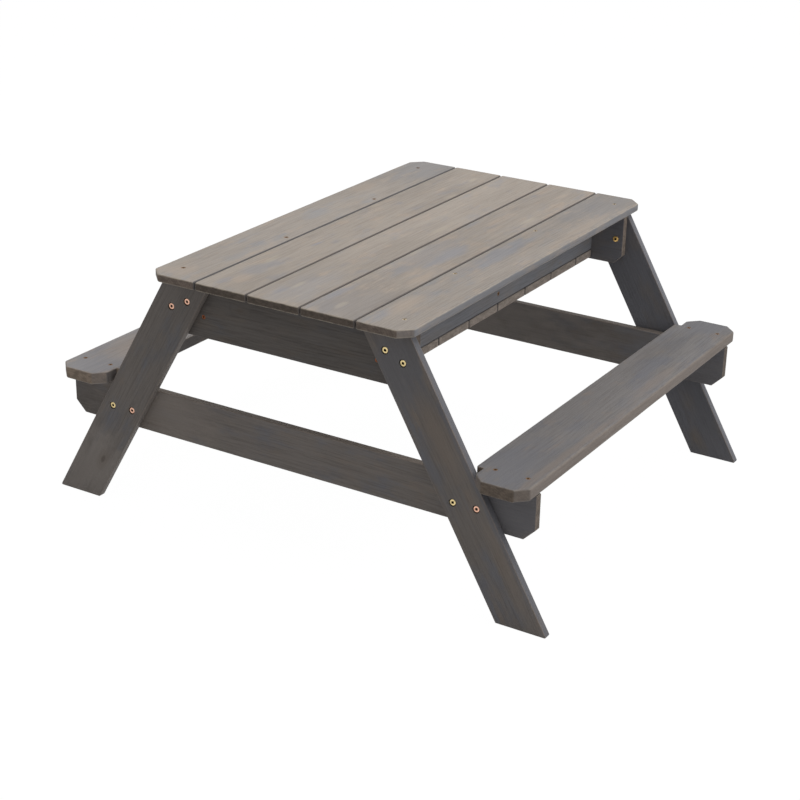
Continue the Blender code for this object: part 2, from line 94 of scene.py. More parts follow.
# Cells of the timber's noises per metre along, across and through the board
WANDER_CELLS = (1.6, 7, 7)
FIBRE_CELLS = (15, 400, 400)
HAIR_CELLS = (40, 1500, 1500)
PORE_CELLS = (45, 1000, 1000)
CLOUD_CELLS = (13, 32, 32)
HAZE_CELLS = (18, 48, 48)
LEVEL_CELLS = (2.2, 11, 11)
SPECKLE_CELLS = (900, 900, 900)
BLOTCH_CELLS = (60, 75, 130)
RUBBED_CELLS = (30, 60, 60)

# Grain: how far it wanders, rings, knots, and the reach of the joints' stain and painted shade
GRAIN_WANDER = (0, 0.022, 0.022)
RING_PITCH = 0.0046
RING_LEAN = 0.014
KNOT_LENGTH = 2.4
KNOT_PUSH = 0.006
SEAM_REACH = (0.0034, 0.0014)
MARK_RAGGED = 1.8
BUMP_SHARE = 0.6
TIMBER_BUMP = 0.00035
TIMBER_SPECULAR = 0.38

# Smooth steps: from, to, and where they aren't 0 and 1, the values at both ends
RING_RISE = (0.35, 0.86)
RING_FALL = (1.0, 0.9)
KNOT_CORE = (1.0, 0.4)
KNOT_RIM = (3.2, 0.9)
PORE_STEP = (0.62, 0.74)
FIBRE_STEP = (0.46, 0.70)
HAIR_STEP = (0.5, 0.75)
COOL_STEP = (0.58, 0.82)
WARM_STEP = (0.62, 0.86)
MARK_STEP = (1.15, 0.3)
LEVEL_STEP = (0.3, 0.7, 0.90, 1.08)
SIDE_STEP = (0.5, 0.9)
END_STEP = (0.45, 0.95)
BLOTCH_STEP = (0.38, 0.62)
SPECKLE_STEP = (0.35, 0.65, 0, 0.4)
RUBBED_STEP = (0.32, 0.62, 0.1, 0.75)
TIMBER_ROUGHNESS = (0.3, 0.7, 0.56, 0.74)
FILM_STEP = (0.35, 0.7)
FILM_ROUGH_STEP = (0.3, 0.7)
SCRATCH_STEP = (0.55, 0.75, 0, 0.35)

# How far a board's own share of patches moves their step down
COOL_MOVE = 0.28
WARM_MOVE = 0.24

# How strongly each thing tints the timber, and the tones of what it tints it with
COOL_TINT = 0.9
WARM_TINT = 0.75
LATE_TINT = 0.26
FIBRE_TINT = 0.62
HAIR_TINT = 0.35
PORE_TINT = 0.45
KNOT_RIM_TINT = 0.5
KNOT_CORE_TINT = 0.75
KNOT_RIM_TONE = 0.85
LIGHT_TONE = 1.35
BLUE_TONES = (0.93, 0.97, 1.05)
SIDE_FIBRE_TONE = 0.8
SIDE_WARM_TINT = 0.4
BLOTCH_TONES = (1.22, 0.76)
SPECKLE_TONE = 0.6
END_RING_TINT = 0.2
END_RING_TONE = 0.5
# Seams: stain gathered in the joints, and painted shade of the gaps between boards; less of it on
# the cut ends
SEAM_TINT = 0.9
SEAM_END_LOSS = 0.7
END_ROUGHNESS = 0.14

# How much each thing raises the timber, or sinks it
RELIEF = {"late": -0.35, "fibre": -0.8, "hair": -0.3, "pores": -0.4, "speckle": 0.6}

# Plating: cells per metre, tones, roughness and depth of its unevenness
FILM_CELLS = (260, 260, 260)
SCRATCH_CELLS = (2600, 700, 2600)
FILM_TONE = 0.62
SCRATCH_TONE = 1.25
# Dark recesses: bare metal, and painted shade deep in the sockets
RECESS_BARE_AND_SHADE_TONE = 0.06
RECESS_ROUGHNESS = 0.4
FILM_ROUGHNESS = (0.8, 1.5)
METAL_BUMP = 0.00006
SCREW_ROUGHNESS = 1.3

# Small clearances, bevels and shares of the fasteners
FIT = 0.0003
BEVEL = 0.0003
FINE_BEVEL = 0.0002
BORE_OVER = 0.002
BORE_MARGIN = 0.001
SOCKET_TAPER = 0.9
SOCKET_SINK = 0.0004
BOLT_PLAY = 0.0001
BOLT_POINT_SHARE = 0.8
BOLT_REACH_SHARE = 0.25
FLANGE_EASE_SHARE = 0.6
CROSS_TAPER = (0.45, 0.92)
NECK = 0.001
SOCKET_BLIND = 0.0012
SCREW_CORE = 0.72
CROSS_REACH = 0.62
CROSS_WIDTH = 0.17
CROSS_DEPTH = 0.0018
SCREW_POINT = 0.004

# Fasteners that the frame doesn't hold
RAIL_SCREW_HEIGHT_SHARES = (0.23, 0.74)
FLOOR_SCREW_INSET = 0.024
FLOOR_SCREW_EXTRA = 0.012
BATTEN_SCREW_SPREAD_SHARE = 0.5

# Floor, lamps and camera
FLOOR_HALF = 14.0
FLOOR_DROP = 0.0002
LAMP_AIM = (0, 0, 0.3)
KEY_PLACE = (0.3, -0.6, 3.6)
KEY_SIZE = 3.4
FILL_PLACE = (0.0, -4.0, 2.2)
FILL_SIZE = 2.6
CAMERA_PLACE = (-2.69011, -1.61989, 1.48931)
CAMERA_TURN = 0.54721
CAMERA_TILT = -0.40206
CAMERA_ROLL = 0.01949
SENSOR_WIDTH = 36

X, Y, Z = np.eye(3)
SIDES = (("left", 1), ("right", -1))
ENDS = ("near", "far")
LID_BOARDS = ("left", "middle", "right")
COPPER_BOLTS = (
    "bolt_near_left_top_inner", "bolt_near_left_top_outer", "bolt_near_left_seat_inner",
    "bolt_near_right_seat_outer", "bolt_far_left_top_inner", "bolt_far_right_seat_inner",
)

# Axis of the board's length, width and thickness, as X, Y, Z numbers
PLANK = (0, 1, 2)
CROSS_PLANK = (1, 0, 2)
CROSS_BOARD = (1, 2, 0)
RAIL = (0, 2, 1)
POST = (2, 1, 0)


def length(name, default, description, largest=0.2):
    """A length property."""
    return FloatProperty(
        name=name, description=description, default=default, min=0, max=largest, unit="LENGTH"
    )


def factor(name, default, description, largest=1.0):
    """A plain number property."""
    return FloatProperty(name=name, description=description, default=default, min=0, max=largest)


def stain(name, default, description=""):
    """A colour property, linear red, green and blue; a finish's colours are described below."""
    return FloatVectorProperty(
        name=name,
        description=description or FINISH_COLOURS[name],
        default=default,
        size=3,
        min=0,
        max=1,
        subtype="COLOR",
    )


FINISH_COLOURS = {
    "Body": "Main colour of the faces",
    # The seams' colour is also painted shade of the gaps between boards
    "Seams": "Stain gathered in the joints between boards",
    "Cool patches": "Bluish grey patches in the stain",
    "Warm patches": "Pinkish or brown patches in the stain",
    "Streaks": "Latewood and dark fibres",
    "Worn edges": "Rubbed arrises",
    "Cut ends": "End grain, which takes more stain",
}


class TimberSizes(PropertyGroup):
    """Cuts and eased edges of the boards."""

    top_corner: length("Top corner", 0.023, "Corner cut off the outer boards of the top")
    top_ease: length("Top edge", 0.0024, "Radius of the top boards' upper arrises", 0.007)
    top_ease_below: length("Top lower edge", 0.0033, "Radius of their lower arrises", 0.007)
    seat_corner: length("Bench corner", 0.021, "Corner cut off each bench end")
    seat_notch: length("Bench notch", 0.0135, "Depth of the notch beside each leg")
    seat_notch_gap: length("Notch gap", 0.0025, "Clearance between a notch and its leg")
    seat_ease: length("Bench edge", 0.0024, "Radius of the benches' upper arrises", 0.01)
    seat_ease_below: length("Bench lower edge", 0.0028, "Radius of their lower arrises", 0.01)
    seat_swell: factor("Bench swell", 0.7, "How much rounder the benches' outer arrises are")
    apron_corner: length("Apron corner", 0.017, "Corner cut off the aprons' lower edge")
    bearer_corner: length("Bearer corner", 0.0215, "Corner cut off the bearers' lower edge")
    frame_ease: length("Frame edge", 0.0014, "Radius of the other boards' arrises", 0.007)
    corner_round: length("Corner rounding", 0.0055, "Rounding where a cut corner meets an edge")
    square_round: length("Square rounding", 0.0024, "Rounding of the square corners", 0.01)
    top_round: length("Top rounding", 0.005, "Rounding of the top boards' square corners", 0.01)
    leg_width: length("Leg width", 0.083, "Width of a leg's board, square to its length")
    leg_lean: FloatProperty(
        name="Leg lean", description="Lean of the legs", default=math.radians(30), subtype="ANGLE"
    )
    relief: length("Grain relief", 0.00016, "Depth of the planed face's unevenness", 0.001)


class FastenerSizes(PropertyGroup):
    """Bolts, sleeve nuts and screws."""

    bolt_head: length("Bolt head", 0.0115, "Diameter of a connector bolt's head")
    bolt_head_height: length("Bolt head height", 0.0035, "Thickness of the head")
    bolt_shank: length("Bolt shank", 0.006, "Diameter of the bolt's shank")
    bolt_ease: length("Bolt rim", 0.0009, "Rounding of the head's rim")
    hex_key: length("Hexagon", 0.0045, "Width of the hexagon socket across its flats")
    hex_depth: length("Hexagon depth", 0.0025, "Depth of the hexagon socket")
    counterbore: length("Counterbore", 0.005, "Depth of the recess for the bolt head")
    counterbore_margin: length("Counterbore margin", 0.0013, "Room round the bolt head")
    sleeve: length("Sleeve", 0.0086, "Diameter of the nut's sleeve")
    sleeve_length: length("Sleeve length", 0.012, "Length of the nut's sleeve")
    sleeve_flange: length("Flange", 0.0018, "Thickness of the nut's flange")
    screw_head: length("Screw head", 0.0078, "Diameter of a wood screw's head")
    screw_shank: length("Screw shank", 0.004, "Diameter of a wood screw's thread")
    screw_sink: length("Screw sink", 0.0005, "Depth of the screw heads below the face")
    thread_pitch: length("Thread pitch", 0.0018, "Distance between the screw's threads")
    frame_screw: length("Frame screw", 0.045, "Length of the screws through the boards' faces")
    short_screw: length("Short screw", 0.026, "Length of the screws of the lid and the floor")


class TopFinish(PropertyGroup):
    """Pale greige stain of the screwed boards of the top."""

    body: stain("Body", (0.336, 0.296, 0.260))
    seam: stain("Seams", (0.088, 0.084, 0.086))
    cool: stain("Cool patches", (0.278, 0.272, 0.276))
    warm: stain("Warm patches", (0.395, 0.322, 0.262))
    streak: stain("Streaks", (0.205, 0.182, 0.165))
    worn: stain("Worn edges", (0.455, 0.400, 0.325))
    cut: stain("Cut ends", (0.168, 0.132, 0.108))


class LidFinish(PropertyGroup):
    """Slightly browner stain of the lid's boards."""

    body: stain("Body", (0.345, 0.300, 0.258))
    seam: stain("Seams", (0.105, 0.090, 0.082))
    cool: stain("Cool patches", (0.284, 0.270, 0.270))
    warm: stain("Warm patches", (0.410, 0.330, 0.265))
    streak: stain("Streaks", (0.210, 0.182, 0.160))
    worn: stain("Worn edges", (0.440, 0.380, 0.305))
    cut: stain("Cut ends", (0.106, 0.083, 0.066))


class FrameFinish(PropertyGroup):
    """Dark warm grey stain of the legs, aprons and bearers."""

    seam: stain("Seams", (0.040, 0.037, 0.035))
    body: stain("Body", (0.166, 0.147, 0.134))
    cool: stain("Cool patches", (0.138, 0.138, 0.152))
    warm: stain("Warm patches", (0.190, 0.156, 0.130))
    streak: stain("Streaks", (0.095, 0.082, 0.074))
    worn: stain("Worn edges", (0.225, 0.180, 0.150))
    cut: stain("Cut ends", (0.100, 0.081, 0.067))


class SeatFinish(PropertyGroup):
    """Cool mid grey stain of the benches."""

    seam: stain("Seams", (0.070, 0.066, 0.064))
    body: stain("Body", (0.190, 0.178, 0.174))
    cool: stain("Cool patches", (0.160, 0.158, 0.170))
    warm: stain("Warm patches", (0.235, 0.194, 0.166))
    streak: stain("Streaks", (0.118, 0.106, 0.100))
    worn: stain("Worn edges", (0.262, 0.226, 0.195))
    cut: stain("Cut ends", (0.205, 0.160, 0.124))


class SandboxFinish(PropertyGroup):
    """Blue grey stain of the sandbox."""

    seam: stain("Seams", (0.022, 0.020, 0.020))
    body: stain("Body", (0.205, 0.198, 0.202))
    cool: stain("Cool patches", (0.192, 0.198, 0.218))
    warm: stain("Warm patches", (0.215, 0.174, 0.142))
    streak: stain("Streaks", (0.108, 0.100, 0.097))
    worn: stain("Worn edges", (0.290, 0.235, 0.185))
    cut: stain("Cut ends", (0.325, 0.275, 0.238))


class MetalFinish(PropertyGroup):
    """Plating of the fasteners."""

    yellow: stain("Yellow plating", (0.800, 0.640, 0.330), "Yellow bolts")
    gold: stain("Gold plating", (0.760, 0.500, 0.180), "Deep yellow sleeve nuts")
    copper: stain("Copper plating", (0.800, 0.480, 0.350), "Copper pink bolts")
    screw: stain("Screw plating", (0.320, 0.185, 0.095), "Dull brown gold screws")
    bright: stain("Bright screws", (0.620, 0.500, 0.340), "Pale gold screws")
    red: stain("Red screws", (0.260, 0.095, 0.048), "Dark red screws")
    roughness: factor("Roughness", 0.32, "Roughness of the plating")


class StageSettings(PropertyGroup):
    """Floor, lamps and camera."""

    floor_colour: stain("Floor", (0.56, 0.56, 0.56), "Pale floor")
    shadow: factor("Shadow", 0.06, "How much of the floor's own shade the camera sees")
    white: factor("White", 1.05, "Level of the floor's white, above that of the world", 2.0)
    sky: factor("Sky", 0.30, "Strength of the even light from all round", 5.0)
    key_power: FloatProperty(
        name="Key lamp", description="Power of the large lamp", default=80, min=0, unit="POWER"
    )
    fill_power: FloatProperty(
        name="Fill lamp", description="Power of the second lamp", default=40, min=0, unit="POWER"
    )
    lens: FloatProperty(
        name="Lens", description="Focal length on a 36 mm sensor", default=79.445, unit="CAMERA"
    )


class PicnicTableSettings(PropertyGroup):
    """All that a user would change."""

    timber: PointerProperty(type=TimberSizes)
    fastener: PointerProperty(type=FastenerSizes)
    top_timber: PointerProperty(type=TopFinish)
    lid_timber: PointerProperty(type=LidFinish)
    frame_timber: PointerProperty(type=FrameFinish)
    seat_timber: PointerProperty(type=SeatFinish)
    sandbox_timber: PointerProperty(type=SandboxFinish)
    metal: PointerProperty(type=MetalFinish)
    stage: PointerProperty(type=StageSettings)
    seed: IntProperty(name="Seed", description="Draws another set of boards", default=7, min=0)


def settings():
    """The scene's own settings for this table."""
    return bpy.context.scene.picnic_table


def seed_of(name, salt=0):
    """A number that is always the same for a name."""
    return zlib.crc32(f"{name}{salt}{settings().seed}".encode())


def corners_of(node):
    """Lowest and highest corner of a CAD node, as arrays."""
    low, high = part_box(node)
    return np.array(low), np.array(high)


def nodes_named(start):
    """The frame's nodes whose names begin so, in order."""
    return sorted(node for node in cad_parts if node.startswith(start))


# Surfaces


def rounded(corners):
    """Each corner (a, b, radius) becomes a circular arc between its two tangent points.

    The arc's middle lies radius / sin(half the corner's angle) along the corner's bisector, and
    the arc at share s is the middle plus sin((1-s)t) of the first radius and sin(st) of the last,
    over sin t, with t the turn between them. Gives an array of corner and step whose rows hold
    the point and the unit vector from it into the board.
    """
    points = corners[:, :2]
    radius = corners[:, 2:]
    back = np.roll(points, 1, 0) - points
    ahead = np.roll(points, -1, 0) - points
    back = back / np.linalg.norm(back, axis=1, keepdims=True)
    ahead = ahead / np.linalg.norm(ahead, axis=1, keepdims=True)
    half = np.arccos(np.clip((back * ahead).sum(1, keepdims=True), -1, 1)) / 2
    bisector = (back + ahead) / np.linalg.norm(back + ahead, axis=1, keepdims=True)
    middle = points + bisector * radius / np.sin(half)
    start = points + back * radius / np.tan(half) - middle
    stop = points + ahead * radius / np.tan(half) - middle
    turn = (math.pi - 2 * half)[:, None]
    share = np.linspace(0, 1, CORNER_STEPS)[None, :, None]
    arc = np.sin((1 - share) * turn) * start[:, None] + np.sin(share * turn) * stop[:, None]
    arc /= np.sin(turn)
    hollow = np.sign(back[:, 0] * ahead[:, 1] - back[:, 1] * ahead[:, 0])[:, None, None]
    return np.concatenate([middle[:, None] + arc, hollow * arc / radius[:, None]], 2)


def edge_shares(edge, sideways):
    """How far along the board each point of an edge is, from 0 to 1, steps across counted less."""
    steps = np.abs(np.diff(edge[:, :2], axis=0)) @ [1, sideways]
    return np.concatenate([[0], np.cumsum(steps)]) / steps.sum()


def matched(right, left):
    """Both long edges read at the same shares, with the corners of each kept.

    Steps across count only on the right edge, so no line from edge to edge crosses another
    beside a notch in it.
    """
    shares = edge_shares(right, SIDEWAYS_SHARE), edge_shares(left, 0)
    even = np.linspace(0, 1, max(3, round(np.ptp(right[:, 0]) / ALONG_STEP)))
    stations = np.unique(np.concatenate([*shares, even]))
    stations = stations[np.concatenate([[True], np.diff(stations) > STATION_GAP])]
    stations[-1] = 1
    return [
        np.stack([np.interp(stations, share, column) for column in edge.T], 1)
        for share, edge in zip(shares, (right, left))
    ]


def closed_loop(right, left, across):
    """Along the right edge, over the far end, back along the left edge and over the near end."""
    far = right[-1] + (left[-1] - right[-1]) * across[1:-1, None]
    near = left[0] + (right[0] - left[0]) * across[1:-1, None]
    return np.concatenate([right, far, left[::-1], near])


def waves(points, cycles, seed, count=6):
    """Mean of some sines of the place, each with its own turns per metre and phase, within 1."""
    draw = np.random.default_rng(seed)
    phase = draw.uniform(0, TAU, count)
    turns = draw.uniform(0.3, 1.0, (count, len(cycles))) * np.array(cycles)
    return np.sin(points @ turns.T * TAU + phase).mean(-1)


def grid_faces(rows, columns, start=0, closed=False):
    """Quads of a grid of points numbered row by row; a closed grid joins its last column."""
    last = columns if closed else columns - 1
    row, column = np.meshgrid(np.arange(rows - 1), np.arange(last), indexing="ij")
    after = (column + 1) % columns
    first = row * columns + column
    side = row * columns + after
    quads = np.stack([first, side, side + columns, first + columns], -1)
    return quads.reshape(-1, 4) + start


def patch(low, high, near, far, along, across):
    """Points of a face between its four edges.

    The blend across plus the blend along, less the blend of the four corners.
    """
    sides = low + (high - low) * across
    ends = near + (far - near) * along
    first = low[:1] + (high[:1] - low[:1]) * across
    last = low[-1:] + (high[-1:] - low[-1:]) * across
    return sides + ends - first - (last - first) * along


def fading(count):
    """0 at the first and last of some lines, rising evenly to 1 a few lines further in."""
    lines = np.arange(count)
    return np.minimum(np.minimum(lines, count - 1 - lines) / FADE_LINES, 1)


def slab(outline, thickness, ease, swell, relief, seed):
    """A board's surface about its own middle: along, across and through it.

    The rim carries a quarter circle, the side and another quarter circle round the outline: at
    turn t it lies ease * (1 - sin t) inside the outline and ease * (1 - cos t) below the face.
    Each face is a grid between the two long edges, sunk by a small relief that runs with the grain
    and dies out at the rim. The ease, one for the upper and one for the lower face, wanders a
    little along the board, as sanding leaves it, and grows by the swell along the left edge.
    """
    right, left = matched(*outline)
    widest = np.abs(left[:, 1] - right[:, 1]).max()
    across = np.linspace(0, 1, max(4, round(widest / ACROSS_STEP)))
    loop, step = np.split(closed_loop(right, left, across), 2, 1)
    ease = np.repeat(ease, EASE_STEPS + 1)[:, None, None]
    growth = 1 + swell * np.clip(-step[:, 1], 0, 1) ** 2
    radius = ease * (growth * (1 + EASE_WANDER * waves(loop, EASE_WAVES, seed)))[:, None]
    turn = np.linspace(0, math.pi / 2, EASE_STEPS + 1)
    turns = np.concatenate([turn, turn[::-1]])[:, None, None]
    face = np.repeat([1, -1], EASE_STEPS + 1)[:, None, None]
    plan = loop + step * radius * (1 - np.sin(turns))
    height = face * (thickness / 2 - radius * (1 - np.cos(turns)))
    rim = np.concatenate([plan, height], 2)
    wear = np.repeat(np.sin(2 * turns[:, :, 0]), len(loop), 1)

    long, wide = len(right), len(across)
    share = across[None, :, None]
    along = edge_shares(right, SIDEWAYS_SHARE)
    fade = fading(long)[:, None] * fading(wide)
    faces = [grid_faces(len(turns), len(loop), closed=True)]
    points = [rim.reshape(-1, 3)]
    for number, row in ((1, 0), (-1, -1)):
        inner = rim[row]
        low = inner[:long, None]
        high = inner[long + wide - 2 : 2 * long + wide - 2][::-1][:, None]
        near = np.concatenate([low[0], inner[2 * long + wide - 2 :][::-1], high[0]])
        far = np.concatenate([low[-1], inner[long : long + wide - 2], high[-1]])
        grid = patch(low, high, near[None], far[None], along[:, None, None], share)
        dip = 0.5 + 0.5 * waves(grid[..., :2], RELIEF_WAVES, seed + number, 9)
        grid[..., 2] -= number * relief * dip * fade
        faces.append(grid_faces(long, wide, sum(len(p) for p in points))[:, ::number])
        points.append(grid.reshape(-1, 3))
    flat = np.zeros(2 * long * wide)
    return np.concatenate(points), np.concatenate(faces), np.concatenate([wear.ravel(), flat])


def spun(radius, height, sides, deep=0):
    """Radius, a row of one or of every side's value for each height, carried round the Z axis.

    Gives points, faces and a mark for each point, which is 1 in the first few, deep rows.
    """
    angle = np.linspace(0, TAU, sides, endpoint=False)
    radius = np.stack([np.broadcast_to(r, sides) for r in radius])
    height = np.broadcast_to(np.array(height)[:, None], radius.shape)
    points = np.stack([radius * np.cos(angle), radius * np.sin(angle), height], -1)
    marks = np.repeat(np.arange(len(radius)) < deep, sides)
    return points.reshape(-1, 3), grid_faces(len(radius), sides, closed=True), marks


def join_surfaces(surfaces):
    """Several surfaces as one list of points, faces and marks."""
    starts = np.cumsum([0] + [len(surface[0]) for surface in surfaces])
    points = np.concatenate([surface[0] for surface in surfaces])
    faces = np.concatenate([surface[1] + start for surface, start in zip(surfaces, starts)])
    return points, faces, np.concatenate([surface[2] for surface in surfaces])


def hexagon(width, sides):
    """Radius of a regular hexagon: half its width over the cosine of the turn from a flat."""
    angle = np.linspace(0, TAU, sides, endpoint=False)
    sector = TAU / 6
    return width / 2 / np.cos((angle + sector / 2) % sector - sector / 2)


def cross(reach, half_width, sides):
    """Radius of a cross recess: the nearer of an arm's end and its side, by the turn from it."""
    angle = np.linspace(0, TAU, sides, endpoint=False)
    quarter = TAU / 4
    turn = (angle + quarter / 2) % quarter - quarter / 2
    return np.minimum(reach / np.cos(turn), half_width / np.maximum(np.abs(np.sin(turn)), 1e-6))


def make_mesh(name, points, faces, sharp=SMOOTH_TURN, **fields):
    """A closed mesh with its doubles merged, its faces outward and its smooth shading set.

    Each further field is a number for every point, kept as an attribute for the materials.
    """
    mesh = bpy.data.meshes.new(name)
    mesh.from_pydata(points.tolist(), [], faces.tolist())
    for key, values in fields.items():
        attribute = mesh.attributes.new(key, "FLOAT", "POINT")
        attribute.data.foreach_set("value", values.astype(np.float32).ravel())
    cage = bmesh.new()
    cage.from_mesh(mesh)
    bmesh.ops.remove_doubles(cage, verts=cage.verts, dist=WELD)
    bmesh.ops.recalc_face_normals(cage, faces=cage.faces)
    cage.to_mesh(mesh)
    cage.free()
    shade(mesh, sharp)
    return mesh


def shade(mesh, sharp):
    """Smooth shading that breaks at edges turned by more than this, in degrees."""
    mesh.shade_smooth()
    mesh.set_sharp_from_angle(angle=math.radians(sharp))


def add_piece(name, mesh, body, material, replaced=None):
    """Link a finished mesh as a piece that rides on a body and may stand for a CAD node."""
    obj = bpy.data.objects.new(name, mesh)
    bpy.context.scene.collection.objects.link(obj)
    mesh.materials.clear()
    mesh.materials.append(material)
    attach(obj, body)
    if replaced:
        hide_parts(replaced)
    return obj


# Fastener places


@dataclass
class Site:
    """One fastener: where it meets the face, which way its head looks, and what it is."""

    name: str
    kind: str
    place: np.ndarray
    out: np.ndarray
    depth: float


def bolt_sites():
    """The connector bolts, at the outer face of the legs that carry them."""
    sites = []
    for node in nodes_named("bolt_"):
        low, high = corners_of(node)
        place = (low + high) / 2
        end = int(np.sign(place[0]))
        leg = corners_of("_".join(["leg"] + node.split("_")[1:3]))
        apron = corners_of("apron_far" if end > 0 else "apron_near")
        place[0] = leg[end > 0][0]
        sites.append(Site(node, "bolt", place, end * X, abs(place[0] - apron[end < 0][0])))
    return sites


def board_screw_sites():
    """The screws down through the top's outer boards and the benches."""
    sites = []
    for node in nodes_named("screw_"):
        low, high = corners_of(node)
        place = (low + high) / 2
        place[2] = corners_of("top_board_left" if "top" in node else "seat_left")[1][2]
        sites.append(Site(node, "screw", place, Z, place[2] - low[2]))
    return sites


def frame_screw_sites():
    """The screws through the aprons into the rails, and through the rails into the divider."""
    sites = []
    long = settings().fastener.frame_screw
    for side, _ in SIDES:
        box = corners_of("sandbox_rail_" + side)
        low, high = box
        middle = (low[1] + high[1]) / 2
        outward = int(np.sign(middle))
        for level, share in zip(("low", "high"), RAIL_SCREW_HEIGHT_SHARES):
            height = low[2] + share * (high[2] - low[2])
            for number, name in enumerate(ENDS):
                apron = corners_of("apron_" + name)[number][0]
                place = np.array([apron, middle, height])
                label = f"rail_end_{side}_{name}_{level}"
                sites.append(Site(label, "screw", place, (2 * number - 1) * X, long))
            place = np.array([0, box[outward > 0][1], height])
            sites.append(Site(f"divider_{side}_{level}", "screw", place, outward * Y, long))
    return sites


def floor_screw_sites():
    """The screws up through the floor boards into the rails, two at each end of a board."""
    sites = []
    short = settings().fastener.short_screw + FLOOR_SCREW_EXTRA
    for node in nodes_named("sandbox_floor_board_"):
        low, high = corners_of(node)
        for side, _ in SIDES:
            rail_low, rail_high = corners_of("sandbox_rail_" + side)
            for x in (low[0] + FLOOR_SCREW_INSET, high[0] - FLOOR_SCREW_INSET):
                place = np.array([x, (rail_low[1] + rail_high[1]) / 2, low[2]])
                sites.append(Site(f"{node}_{side}", "screw", place, -Z, short))
    return sites


def batten_screw_sites():
    """The screws up through the lid's battens, two into each board."""
    sites = []
    short = settings().fastener.short_screw
    for end in ENDS:
        low, high = corners_of("lid_batten_" + end)
        first, last = low[1] + FLOOR_SCREW_INSET / 2, high[1] - FLOOR_SCREW_INSET / 2
        for board in LID_BOARDS:
            board_low, board_high = corners_of("lid_board_" + board)
            middle = (board_low[1] + board_high[1]) / 2
            spread = BATTEN_SCREW_SPREAD_SHARE * (board_high[1] - board_low[1]) / 2
            for y in (middle - spread, middle + spread):
                place = np.array([(low[0] + high[0]) / 2, min(max(y, first), last), low[2]])
                sites.append(Site(f"batten_{end}_{board}", "screw", place, -Z, short))
    return sites


def all_sites():
    """Every fastener of the table."""
    sites = bolt_sites() + board_screw_sites() + frame_screw_sites()
    return sites + floor_screw_sites() + batten_screw_sites()


def turned_to(site, points, spin=0.0):
    """Points about local Z, put at the site with Z pointing out and turned by a spin."""
    turn = np.array(Quaternion((0, 0, 1), spin).to_matrix())
    up = Quaternion((0, 0, 1), 0)
    out = site.out / np.linalg.norm(site.out)
    axis = np.cross([0, 0, 1.0], out)
    if np.linalg.norm(axis) > WELD:
        up = Quaternion(axis, math.acos(np.clip(out[2], -1, 1)))
    elif out[2] < 0:
        up = Quaternion((1, 0, 0), math.pi)
    return points @ turn.T @ np.array(up.to_matrix()).T + site.place


def bore_surface(site):
    """The hole for a fastener: its profile carried round, from above the face to below the tip."""
    sizes = settings().fastener
    above, below = BORE_OVER, -site.depth - BORE_OVER
    if site.kind == "bolt":
        head = sizes.bolt_head / 2 + sizes.counterbore_margin
        shank = sizes.bolt_shank / 2 + FIT
        sleeve = sizes.sleeve / 2 + FIT
        seat, shoulder = -sizes.counterbore, -site.depth + sizes.sleeve_length
        radius = [0, head, head, shank, shank, sleeve, sleeve, 0]
        height = [above, above, seat, seat, shoulder, shoulder, below, below]
    else:
        head = sizes.screw_head / 2 + FIT
        shank = sizes.screw_shank / 2 + FIT
        sink = -sizes.screw_sink
        radius = [0, head, head, shank, shank, 0]
        height = [above, above, sink, sink - (head - shank), below, below]
    points, faces, marks = spun(radius, height, BORE_SIDES)
    return turned_to(site, points), faces, marks


# Timber


@dataclass
class Character:
    """What makes one board differ from the next of its kind.

    Tone, share of cool and warm patches, contrast of the grain, place of the pith over half the
    width and the thickness, knots (along, across, size), sides darkened at a joint by gathered
    stain and painted shade of the gap, soft marks (along, across, half length, half width, tint,
    strength) that are mostly stain patches, with painted light at the near left leg's foot and
    painted shade at the near bearer's end, tone of the cut ends, and tint, tone and strength of the
    narrow sides, which paint light onto the near left leg's sides and partly paint shade onto the
    left bench's.
    """

    tone: float = 1.0
    cool: float = 0.5
    warm: float = 0.5
    contrast: float = 0.6
    pith: tuple = (0.3, -2.6)
    knots: tuple = ()
    seams: tuple = ()
    marks: tuple = ()
    end: float = 1.0
    side: tuple = ("cool", 0.9, 0.6)


